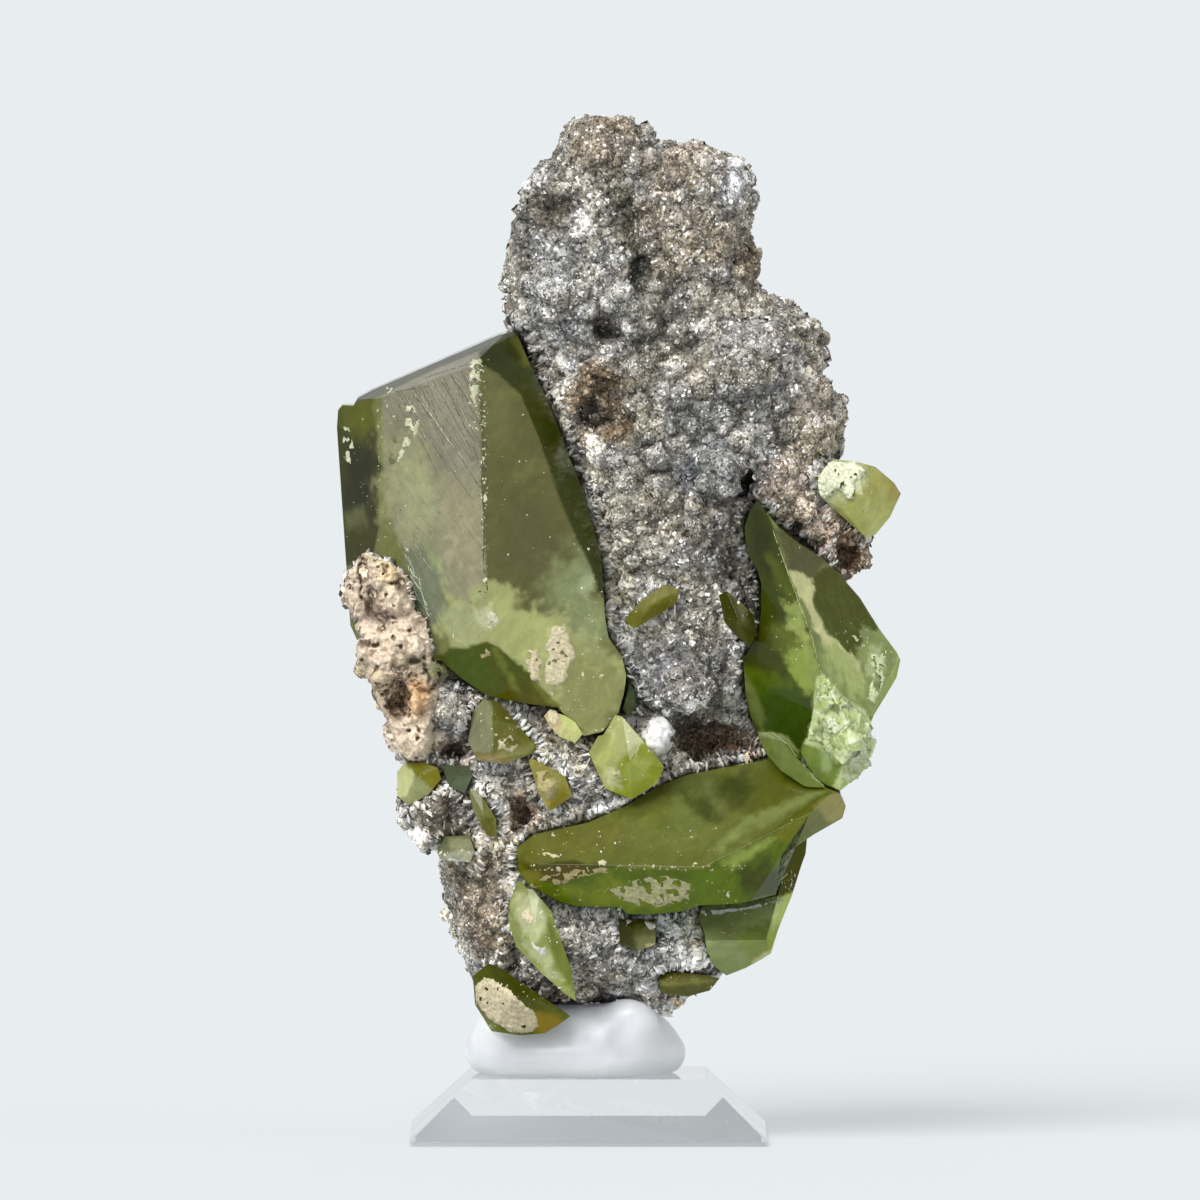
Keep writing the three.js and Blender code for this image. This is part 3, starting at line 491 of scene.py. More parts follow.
def crystal_mesh(name):
    """A crystal's CAD mesh with its edges worn round."""
    mesh = frame["nodes"][name].data.copy()
    mesh.name = name + "_worn"
    work = opened(mesh)
    bmesh.ops.dissolve_limit(work, angle_limit=FLAT_ANGLE, verts=work.verts, edges=work.edges)
    sharp = [e for e in work.edges if len(e.link_faces) == 2 and e.calc_face_angle(0) > EDGE_ANGLE]
    wear = (LARGE_WEAR if "large" in name else SMALL_WEAR) * MM
    bmesh.ops.bevel(work, geom=sharp, offset=wear, segments=2, profile=0.6, affect="EDGES",
                    clamp_overlap=True)
    bmesh.ops.triangulate(work, faces=[f for f in work.faces if len(f.verts) > 3])
    cut_fine(work, FINE_STEP)
    work.to_mesh(mesh)
    work.free()
    mesh.validate()
    mesh.shade_flat()
    return mesh


def paint(mesh, base, patches):
    """Colours a mesh by its corners: a base colour, then patches of others."""
    corner = np.empty(len(mesh.loops), np.int32)
    mesh.loops.foreach_get("vertex_index", corner)
    spots = points_of(mesh)[0][corner].reshape(-1, 3, 3)
    # each corner is read a little inside its own face, so that colours change at the edges
    spots = (spots * (1 - CORNER_PULL) + spots.mean(axis=1, keepdims=True) * CORNER_PULL).reshape(-1, 3)
    px, py = seen_at(spots)
    sway = [soft_noise(spots, 1.6, n) - 0.5 for n in (301, 302)]
    curl = [rough_noise(spots, 0.6, n) - 0.5 for n in (311, 321)]
    tint = np.array(glass(*base)) * (0.88 + 0.24 * rough_noise(spots, 3.0, 331))[:, None]
    for colour, share, soft, wander, outline in patches:
        soft = soft * 1.3 if soft > 1.6 else soft
        margin = soft + 3 * wander
        (left, top), (right, bottom) = np.min(outline, axis=0) - margin, np.max(outline, axis=0) + margin
        rows = np.flatnonzero((px > left) & (px < right) & (py > top) & (py < bottom))
        places = [p[rows] + wander * 3 * (s[rows] + c[rows]) for p, s, c in zip((px, py), sway, curl)]
        here = share * smooth(depth_inside(outline, *places), -soft, soft)
        tint[rows] = blend(tint[rows], glass(*colour), here)
    grey = tint.mean(axis=1, keepdims=True)
    tint = blend(tint, grey, 0.08 * smooth(grey, 0.03, 0.25))
    fold = np.abs(rough_noise(spots, 2.4, 341) - 0.5)
    veil = VEIL * smooth(fold, 0.04, 0.0) * smooth(rough_noise(spots, 4.0, 351), 0.42, 0.58)
    tint *= (0.92 + 0.16 * rough_noise(spots, 0.7, 361) + veil)[:, None]
    # the key light is taken out again, since the colours are those of the lit photograph
    normals = np.empty(len(mesh.polygons) * 3, np.float32)
    mesh.polygons.foreach_get("normal", normals)
    facing = -normals.reshape(-1, 3) @ np.array(KEY)
    lit = np.clip(LIT_AWAY + LIT_MORE * np.clip(facing, 0, 1), LIT_LEAST, LIT_MOST)
    set_tints(mesh, np.clip(tint / np.repeat(lit, 3)[:, None], GLASS_LEAST, GLASS_MOST), "CORNER")


# patches of the large crystals: colour, share, softness and wander of the edge in pixels, outline
LEFT_PATCHES = [
    # left face: dark, with a paler top, a nearly black middle and a bright edge
    ((68, 69, 30), 1.0, 1.0, 0.0, [(325, 385), (382, 394), (388, 470), (381, 520), (372, 565), (325, 565)]),
    ((96, 100, 40), 0.8, 7.0, 4.0, [(338, 405), (358, 393), (380, 398), (385, 432), (365, 442), (344, 428)]),
    ((50, 51, 22), 0.8, 10.0, 5.0, [(350, 446), (372, 440), (377, 480), (372, 515), (350, 510), (343, 470)]),
    ((108, 110, 76), 0.6, 5.0, 3.0, [(346, 512), (364, 508), (368, 524), (350, 530)]),
    ((140, 142, 88), 0.6, 2.5, 2.0, [(375, 396), (383, 396), (390, 470), (384, 520), (377, 520), (382, 470)]),
    # front left face: painted grey and tan sheen over yellow-green
    ((137, 132, 110), 1.0, 1.2, 0.0, [(382, 394), (450, 364), (479, 350), (481, 420), (483, 500), (487, 575),
        (470, 600), (440, 592), (412, 562), (396, 532), (386, 500)]),
    ((156, 148, 132), 0.6, 16.0, 8.0, [(420, 372), (455, 360), (472, 400), (476, 470), (442, 452),
        (416, 402)]),
    ((156, 156, 112), 0.7, 16.0, 12.0, [(390, 442), (415, 430), (432, 470), (442, 522), (428, 562),
        (402, 537), (388, 500)]),
    ((160, 162, 122), 0.55, 14.0, 10.0, [(396, 472), (420, 462), (437, 500), (422, 535), (400, 522)]),
    ((164, 158, 122), 0.75, 16.0, 9.0, [(442, 480), (480, 476), (486, 562), (472, 590), (447, 562)]),
    ((122, 127, 104), 0.9, 4.0, 3.0, [(408, 552), (424, 543), (440, 570), (447, 602), (441, 632), (424, 630),
        (410, 600)]),
    ((150, 166, 108), 0.7, 3.0, 3.0, [(424, 540), (441, 560), (449, 592), (441, 578), (428, 562)]),
    # front right face: smooth olive with a pale cloud at its lower right
    ((99, 98, 64), 1.0, 1.0, 0.0, [(480, 362), (497, 372), (521, 395), (540, 440), (560, 500), (575, 535),
        (590, 565), (602, 600), (570, 640), (520, 610), (487, 578), (483, 500), (481, 420)]),
    ((114, 112, 76), 0.6, 14.0, 3.0, [(484, 368), (510, 392), (512, 440), (486, 450)]),
    ((92, 90, 64), 0.6, 16.0, 4.0, [(506, 500), (548, 500), (562, 560), (535, 595), (505, 575)]),
    ((136, 144, 101), 0.85, 14.0, 12.0, [(560, 556), (583, 544), (598, 568), (606, 620), (604, 655),
        (575, 645), (548, 607), (546, 582)]),
    ((164, 172, 128), 0.7, 4.0, 5.0, [(578, 572), (592, 568), (602, 590), (592, 602), (580, 588)]),
    # yellow-green clouds in the foot
    ((158, 160, 106), 1.0, 3.0, 9.0, [(484, 575), (505, 588), (516, 590), (530, 603), (560, 610), (574, 634),
        (604, 642), (626, 668), (626, 702), (604, 740), (570, 740), (545, 706), (528, 690), (505, 668),
        (484, 650), (460, 648), (446, 654), (434, 628), (440, 600), (452, 585), (470, 590)]),
    ((166, 172, 106), 0.75, 6.0, 7.0, [(500, 590), (530, 606), (560, 620), (556, 655), (530, 668), (505, 650),
        (488, 620)]),
    ((164, 170, 122), 0.8, 4.0, 7.0, [(436, 600), (470, 590), (492, 615), (480, 640), (452, 640),
        (438, 622)]),
    ((192, 194, 156), 0.7, 2.0, 4.0, [(474, 600), (492, 606), (500, 622), (486, 632), (476, 618)]),
    ((136, 138, 86), 0.85, 9.0, 5.0, [(560, 645), (604, 645), (626, 668), (626, 702), (606, 734), (575, 734),
        (558, 700)]),
    ((150, 158, 108), 0.6, 6.0, 6.0, [(575, 622), (600, 640), (612, 662), (590, 660), (574, 642)]),
    # dark lower face
    ((76, 82, 20), 1.0, 1.4, 2.0, [(437, 658), (450, 650), (470, 645), (490, 641), (505, 650), (525, 668),
        (541, 685), (562, 710), (548, 712), (520, 704), (485, 702), (460, 688), (446, 670)]),
    ((70, 84, 14), 0.7, 5.0, 4.0, [(445, 656), (480, 648), (492, 682), (465, 690)]),
    ((84, 80, 12), 0.8, 4.0, 3.0, [(505, 676), (530, 684), (557, 708), (530, 704), (505, 698)]),
    ((118, 126, 60), 0.5, 2.5, 3.0, [(494, 648), (500, 648), (520, 690), (512, 690)]),
    ((118, 120, 62), 0.6, 2.5, 3.0, [(528, 668), (540, 684), (562, 708), (552, 706), (534, 684)]),
    # dark bevel at the right and the thin grey top, painted grey for the sky it reflects
    ((62, 66, 22), 1.0, 1.0, 0.0, [(480, 350), (518, 332), (526, 340), (556, 420), (584, 490), (604, 560),
        (608, 604), (598, 590), (590, 565), (575, 535), (560, 500), (540, 440), (521, 395), (497, 373),
        (480, 363)]),
    ((58, 62, 22), 0.7, 4.0, 3.0, [(482, 352), (500, 345), (514, 352), (508, 372), (492, 368)]),
    ((104, 106, 56), 0.6, 3.0, 2.0, [(512, 338), (520, 338), (532, 366), (524, 368)]),
    ((96, 98, 84), 1.0, 1.0, 0.0, [(335, 402), (420, 360), (516, 322), (518, 333), (478, 352), (440, 367),
        (400, 386), (382, 396), (345, 404)]),
]
RIGHT_PATCHES = [
    # dark left face with its clouds
    ((68, 74, 26), 1.0, 1.0, 0.0, [(748, 490), (763, 500), (774, 530), (783, 560), (795, 590), (803, 612),
        (812, 640), (822, 668), (818, 700), (808, 745), (800, 770), (775, 750), (745, 720), (735, 650),
        (750, 600), (740, 540)]),
    ((56, 58, 12), 0.7, 6.0, 3.0, [(748, 500), (765, 515), (772, 550), (765, 578), (748, 560)]),
    ((94, 102, 46), 0.75, 5.0, 5.0, [(768, 560), (784, 568), (797, 598), (786, 604), (770, 585)]),
    ((154, 166, 90), 0.9, 3.0, 6.0, [(776, 600), (795, 603), (804, 615), (807, 642), (800, 652), (793, 634),
        (785, 618)]),
    ((140, 156, 72), 0.95, 3.5, 6.0, [(784, 640), (800, 642), (812, 655), (819, 676), (814, 696), (800, 682),
        (788, 662)]),
    ((144, 154, 84), 0.8, 3.0, 3.0, [(797, 612), (808, 640), (821, 668), (823, 692), (813, 692), (806, 660)]),
    ((110, 118, 56), 0.7, 5.0, 5.0, [(768, 628), (784, 622), (796, 640), (784, 650), (770, 644)]),
    ((72, 72, 18), 0.5, 7.0, 6.0, [(754, 640), (770, 618), (782, 640), (776, 668), (758, 668)]),
    ((92, 108, 32), 0.7, 6.0, 5.0, [(742, 665), (770, 668), (792, 680), (800, 700), (780, 706), (755, 700)]),
    ((62, 78, 16), 0.85, 8.0, 6.0, [(765, 682), (800, 690), (812, 702), (808, 745), (797, 762), (775, 740),
        (758, 715)]),
    ((114, 124, 74), 0.7, 3.0, 3.0, [(738, 650), (748, 680), (764, 712), (766, 730), (748, 712), (738, 680)]),
    # right face: painted grey sheen at the top, pale flame, a mirror-like part painted dark for what it
    # reflects, veined edge
    ((116, 124, 78), 1.0, 1.0, 0.0, [(763, 500), (802, 528), (834, 558), (864, 602), (905, 655), (905, 672),
        (884, 705), (866, 718), (850, 705), (838, 690), (822, 680), (803, 612), (783, 560), (774, 530)]),
    ((84, 82, 60), 0.9, 3.0, 3.0, [(772, 528), (800, 534), (834, 560), (812, 577), (800, 573), (788, 568),
        (778, 546)]),
    ((184, 182, 130), 1.0, 1.5, 2.5, [(787, 567), (812, 577), (814, 600), (822, 622), (835, 640), (850, 650),
        (857, 656), (870, 690), (850, 692), (835, 668), (826, 650), (812, 625), (800, 600), (792, 582)]),
    ((152, 164, 100), 0.9, 5.0, 5.0, [(820, 640), (850, 652), (867, 672), (871, 702), (850, 708), (835, 688),
        (824, 664)]),
    ((110, 120, 70), 0.7, 4.0, 4.0, [(838, 668), (850, 690), (866, 712), (852, 708), (838, 692)]),
    ((78, 82, 46), 1.0, 1.2, 2.0, [(811, 575), (834, 563), (864, 602), (880, 626), (868, 640), (858, 650),
        (850, 652), (836, 641), (825, 622), (815, 600)]),
    ((128, 140, 86), 0.9, 2.0, 4.0, [(855, 645), (860, 626), (880, 626), (905, 655), (905, 672), (884, 704),
        (866, 714), (862, 690), (868, 672), (858, 655)]),
    ((168, 180, 128), 0.7, 1.5, 4.0, [(866, 652), (876, 640), (884, 660), (878, 684), (868, 676)]),
    # broken end and its green facet
    ((192, 204, 144), 1.0, 1.5, 3.0, [(818, 676), (828, 676), (838, 690), (852, 700), (868, 714), (876, 735),
        (872, 768), (852, 790), (830, 795), (836, 768), (828, 762), (812, 745), (806, 740), (812, 712)]),
    ((216, 224, 178), 0.8, 3.0, 5.0, [(830, 700), (850, 708), (856, 735), (840, 738), (828, 722)]),
    ((222, 228, 190), 0.8, 2.0, 4.0, [(818, 738), (842, 742), (856, 752), (842, 762), (826, 748)]),
    ((150, 166, 92), 0.7, 4.0, 4.0, [(856, 712), (868, 720), (872, 745), (862, 745)]),
    ((108, 118, 72), 0.9, 1.5, 3.0, [(822, 682), (832, 690), (838, 708), (834, 716), (825, 704)]),
    ((116, 134, 64), 0.95, 1.2, 2.0, [(803, 742), (812, 745), (826, 758), (842, 762), (836, 786), (828, 795),
        (812, 782), (801, 765)]),
    ((158, 172, 116), 0.8, 2.0, 3.0, [(818, 748), (834, 755), (830, 772), (820, 768)]),
    # blade below
    ((110, 122, 66), 1.0, 1.0, 1.0, [(750, 738), (758, 730), (772, 730), (788, 738), (798, 752), (805, 770),
        (835, 790), (820, 796), (790, 780), (765, 760)]),
    ((156, 166, 114), 0.9, 1.2, 1.0, [(757, 734), (772, 730), (788, 738), (798, 752), (790, 748),
        (776, 737)]),
]
LONG_PATCHES = [
    # upper face
    ((112, 120, 64), 0.8, 10.0, 6.0, [(640, 800), (680, 790), (714, 820), (722, 850), (640, 850),
        (610, 840)]),
    ((114, 122, 68), 0.7, 5.0, 4.0, [(664, 796), (690, 800), (706, 822), (690, 832), (668, 820)]),
    ((94, 102, 60), 0.8, 6.0, 5.0, [(664, 780), (690, 770), (716, 768), (716, 788), (690, 796), (668, 796)]),
    ((66, 74, 36), 0.75, 4.5, 4.0, [(680, 790), (694, 798), (706, 790), (712, 806), (718, 820), (706, 820),
        (698, 808), (684, 801)]),
    ((62, 70, 32), 0.8, 9.0, 6.0, [(716, 778), (745, 763), (756, 788), (753, 810), (730, 802), (716, 793)]),
    ((108, 116, 72), 0.6, 5.0, 5.0, [(700, 774), (712, 774), (719, 800), (728, 820), (716, 814), (706, 794)]),
    ((94, 98, 44), 0.8, 8.0, 6.0, [(756, 762), (800, 758), (832, 786), (795, 802), (755, 812)]),
    # a painted highlight along the ridge
    ((132, 144, 82), 0.75, 3.0, 3.0, [(722, 850), (760, 826), (800, 803), (822, 790), (790, 798), (750, 818),
        (715, 838)]),
    ((114, 112, 58), 0.8, 6.0, 4.0, [(518, 847), (560, 832), (622, 822), (620, 846), (560, 858), (522, 862)]),
    # lower face: brown wedge, deep green, dark right part
    ((78, 92, 26), 1.0, 1.0, 1.0, [(512, 862), (575, 860), (620, 866), (700, 868), (716, 858), (760, 836),
        (824, 791), (850, 790), (850, 815), (800, 840), (785, 860), (782, 902), (740, 908), (690, 916),
        (640, 918), (605, 914), (560, 906), (515, 884)]),
    ((78, 70, 10), 0.95, 2.5, 2.0, [(520, 862), (582, 861), (612, 866), (585, 872), (550, 881), (530, 878)]),
    ((112, 108, 28), 0.8, 4.0, 3.0, [(518, 866), (540, 868), (540, 886), (525, 880)]),
    ((104, 112, 44), 0.75, 6.0, 6.0, [(545, 888), (600, 878), (660, 876), (690, 890), (640, 908),
        (590, 903)]),
    ((84, 100, 20), 0.8, 6.0, 5.0, [(690, 870), (728, 862), (742, 880), (738, 902), (690, 908)]),
    ((62, 64, 24), 0.85, 5.0, 4.0, [(736, 872), (768, 864), (778, 880), (774, 894), (745, 894)]),
    # a painted highlight just under the ridge
    ((132, 142, 70), 0.8, 3.0, 3.0, [(722, 856), (760, 838), (788, 826), (770, 842), (748, 858), (728, 868)]),
    ((98, 100, 36), 0.8, 3.0, 3.0, [(766, 832), (800, 810), (828, 795), (848, 800), (846, 814), (800, 836),
        (784, 846)]),
    ((138, 130, 66), 0.85, 2.5, 3.0, [(812, 804), (834, 790), (848, 798), (846, 814), (825, 820)]),
]
LOW_PATCHES = [
    ((150, 157, 108), 0.85, 4.0, 3.0, [(698, 905), (786, 896), (782, 940), (700, 942)]),
    ((134, 142, 92), 0.9, 6.0, 5.0, [(698, 912), (742, 904), (752, 935), (735, 962), (710, 958), (700, 940)]),
    ((112, 124, 58), 0.8, 6.0, 6.0, [(742, 938), (776, 918), (788, 930), (770, 958), (742, 966)]),
    ((150, 162, 100), 0.6, 4.0, 5.0, [(735, 925), (765, 912), (772, 925), (745, 942)]),
    ((146, 156, 88), 0.8, 3.0, 2.0, [(774, 918), (788, 880), (800, 868), (798, 900), (786, 928)]),
    # dark grey bevel at the right, painted dark for what it reflects
    ((72, 72, 48), 1.0, 1.2, 1.0, [(776, 846), (805, 828), (815, 832), (808, 880), (799, 900), (792, 890),
        (778, 898)]),
    ((176, 172, 122), 0.8, 1.5, 3.0, [(748, 960), (770, 950), (780, 938), (780, 952), (756, 968)]),
]
# each crystal's base colour and patches
PAINT = {
    "crystal_left_large": ((116, 118, 74), LEFT_PATCHES),
    "crystal_right_large": ((96, 104, 50), RIGHT_PATCHES),
    "crystal_lower_long": ((106, 110, 58), LONG_PATCHES),
    "crystal_lower_right": ((124, 136, 80), LOW_PATCHES),
    "crystal_upper_right": ((164, 164, 98), [
        ((176, 182, 138), 0.9, 2.0, 4.0, [(812, 462), (862, 456), (866, 480), (846, 500), (835, 512),
            (812, 505)]),
        ((150, 148, 82), 0.8, 4.0, 3.0, [(862, 470), (905, 475), (902, 510), (866, 520)]),
        ((138, 122, 60), 0.8, 4.0, 2.0, [(886, 472), (905, 478), (902, 506), (890, 500)]),
        ((164, 164, 98), 0.8, 4.0, 3.0, [(840, 508), (888, 512), (876, 540), (856, 532)])]),
    "crystal_blade": ((70, 72, 44), [
        ((112, 116, 82), 0.7, 3.0, 3.0, [(733, 592), (745, 600), (752, 630), (742, 624), (734, 608)]),
        ((60, 62, 36), 0.7, 3.0, 3.0, [(745, 610), (757, 612), (756, 640), (748, 636)])]),
    "crystal_leaf_upper": ((118, 116, 56), [
        ((148, 144, 88), 0.7, 2.0, 2.0, [(640, 590), (664, 582), (680, 592), (660, 598), (632, 612)]),
        ((96, 92, 32), 0.7, 3.0, 2.0, [(640, 610), (672, 600), (664, 612), (636, 624)])]),
    "crystal_beside_left": ((78, 86, 64), []),
    "crystal_middle_lime": ((160, 164, 96), [
        ((132, 140, 52), 0.95, 1.5, 1.0, [(640, 740), (672, 764), (634, 805), (612, 795), (618, 762)]),
        ((156, 166, 84), 0.7, 4.0, 3.0, [(630, 762), (652, 756), (650, 776), (628, 782)]),
        ((176, 180, 118), 0.8, 3.0, 3.0, [(612, 716), (624, 716), (640, 738), (622, 756), (608, 740)]),
        ((190, 190, 146), 0.7, 3.0, 3.0, [(604, 766), (618, 766), (620, 784), (606, 782)])]),
    "crystal_under_left": ((100, 100, 54), [
        ((138, 140, 106), 0.95, 1.5, 1.0, [(462, 708), (480, 695), (493, 702), (493, 752), (470, 752)]),
        ((134, 134, 84), 0.7, 3.0, 3.0, [(505, 745), (540, 742), (525, 760), (500, 758)]),
        ((152, 136, 90), 0.8, 2.0, 2.0, [(474, 753), (500, 755), (530, 762), (500, 770), (475, 765)])]),
    "crystal_small_lime": ((192, 200, 122), [
        ((188, 170, 130), 0.95, 1.5, 1.0, [(538, 702), (556, 704), (562, 722), (560, 736), (540, 720)])]),
    "crystal_low_middle": ((148, 142, 78), [
        ((126, 116, 44), 0.7, 3.0, 3.0, [(545, 792), (572, 786), (566, 806), (548, 812)])]),
    "crystal_left_edge": ((140, 144, 96), [
        ((194, 198, 134), 0.95, 1.5, 1.0, [(390, 770), (405, 762), (417, 772), (408, 795), (392, 798)]),
        ((118, 114, 24), 0.95, 1.5, 1.0, [(408, 760), (440, 758), (444, 778), (436, 790), (418, 774)])]),
    "crystal_left_pale": ((112, 116, 84), [
        ((140, 140, 106), 0.9, 1.5, 1.0, [(450, 835), (475, 838), (475, 856), (452, 852)]),
        ((164, 164, 136), 0.7, 1.5, 1.0, [(436, 852), (475, 850), (475, 864), (436, 864)])]),
    "crystal_grey_blade": ((92, 100, 78), []),
    "crystal_thin_blade": ((122, 122, 76), [
        ((90, 88, 42), 0.8, 2.0, 2.0, [(480, 812), (496, 818), (492, 846), (480, 838)])]),
    "crystal_leaf_lower": ((140, 148, 84), [
        ((196, 200, 150), 0.85, 5.0, 5.0, [(516, 900), (535, 898), (548, 925), (540, 940), (520, 928)]),
        ((104, 112, 50), 0.85, 3.0, 3.0, [(546, 915), (556, 925), (585, 1000), (566, 985), (552, 950)]),
        ((188, 192, 148), 0.6, 3.0, 5.0, [(528, 938), (548, 950), (562, 980), (545, 972), (532, 955)])]),
    "crystal_lower_left": ((84, 88, 34), [
        ((110, 116, 74), 0.8, 3.0, 2.0, [(466, 985), (480, 995), (498, 1030), (540, 1042), (500, 1046),
            (466, 1010)]),
        ((70, 74, 18), 0.8, 3.0, 2.0, [(486, 962), (510, 962), (545, 1010), (530, 1014), (505, 990)]),
        ((130, 108, 34), 0.8, 3.0, 2.0, [(530, 1010), (560, 1012), (566, 1026), (545, 1036), (530, 1028)])]),
    "crystal_lower_dark": ((84, 86, 50), [
        ((112, 114, 76), 0.8, 2.0, 3.0, [(636, 935), (660, 932), (664, 956), (640, 958)]),
        ((60, 60, 30), 0.8, 2.0, 2.0, [(616, 918), (636, 918), (634, 946), (618, 944)])]),
    "crystal_lower_tail": ((84, 84, 32), [
        ((126, 124, 70), 0.7, 2.0, 2.0, [(650, 976), (690, 974), (720, 982), (690, 982), (655, 984)])]),
}
# faces with a dull lustre: the way they look out
DULL_FACES = {
    "crystal_lower_long": (0.4, 0.0, 0.92),
    "crystal_lower_right": (0.96, -0.27, -0.07),
    "crystal_right_large": (0.96, -0.15, -0.25),
}
GREEN_LOOK = crystal_look("crystal_green", 0.28)
LIME_LOOK = crystal_look("crystal_lime", 0.26)
LEFT_LOOK = crystal_look("crystal_rippled", 0.28, ((-0.327, -0.945, -0.036), -58, glass(92, 86, 68)))


def make_crystals():
    look = Look("crystal_dull", Roughness=0.6, Specular_IOR_Level=0.0)
    dull = look.done(Base_Color=look.tint())
    slots = {row["node"]: row["material_slot"] for row in frame["record"]["subparts"]}
    for name in CRYSTALS:
        mesh = crystal_mesh(name)
        paint(mesh, *PAINT[name])
        look = LIME_LOOK if slots[name] == "titanite_lime" else GREEN_LOOK
        put(name + "_worn", mesh, LEFT_LOOK if name == "crystal_left_large" else look, [name])
        if name in DULL_FACES:
            mesh.materials.append(dull)
            way = Vector(DULL_FACES[name]).normalized()
            for polygon in mesh.polygons:
                if polygon.normal.dot(way) > DULL_WITHIN:
                    polygon.material_index = 1


make_crystals()
crystal_tree = tree_of([frame["nodes"][name].data for name in CRYSTALS + ["quartz_grain"]])

# Rock: an even mesh of the CAD rock with knobs and hollows

ROCK_VOXEL = 0.4
KNOB, SMALL_KNOB = 2.3, 1.15
KNOB_SALT, SMALL_SALT = 51, 61
# how far the rock swells out, in millimetres: its broad forms, knobs, grain and where it hugs the crystals
BROAD_RISE, KNOB_RISE, SMALL_RISE, GRAIN_RISE, HUG = 1.2, 0.95, 0.45, 0.6, 0.42
RISE_DROP = 0.1
ROCK_GREY = rgb(158, 154, 145)
ROCK_BROWN = rgb(138, 122, 94)
ZONE_DEPTH = -8.0
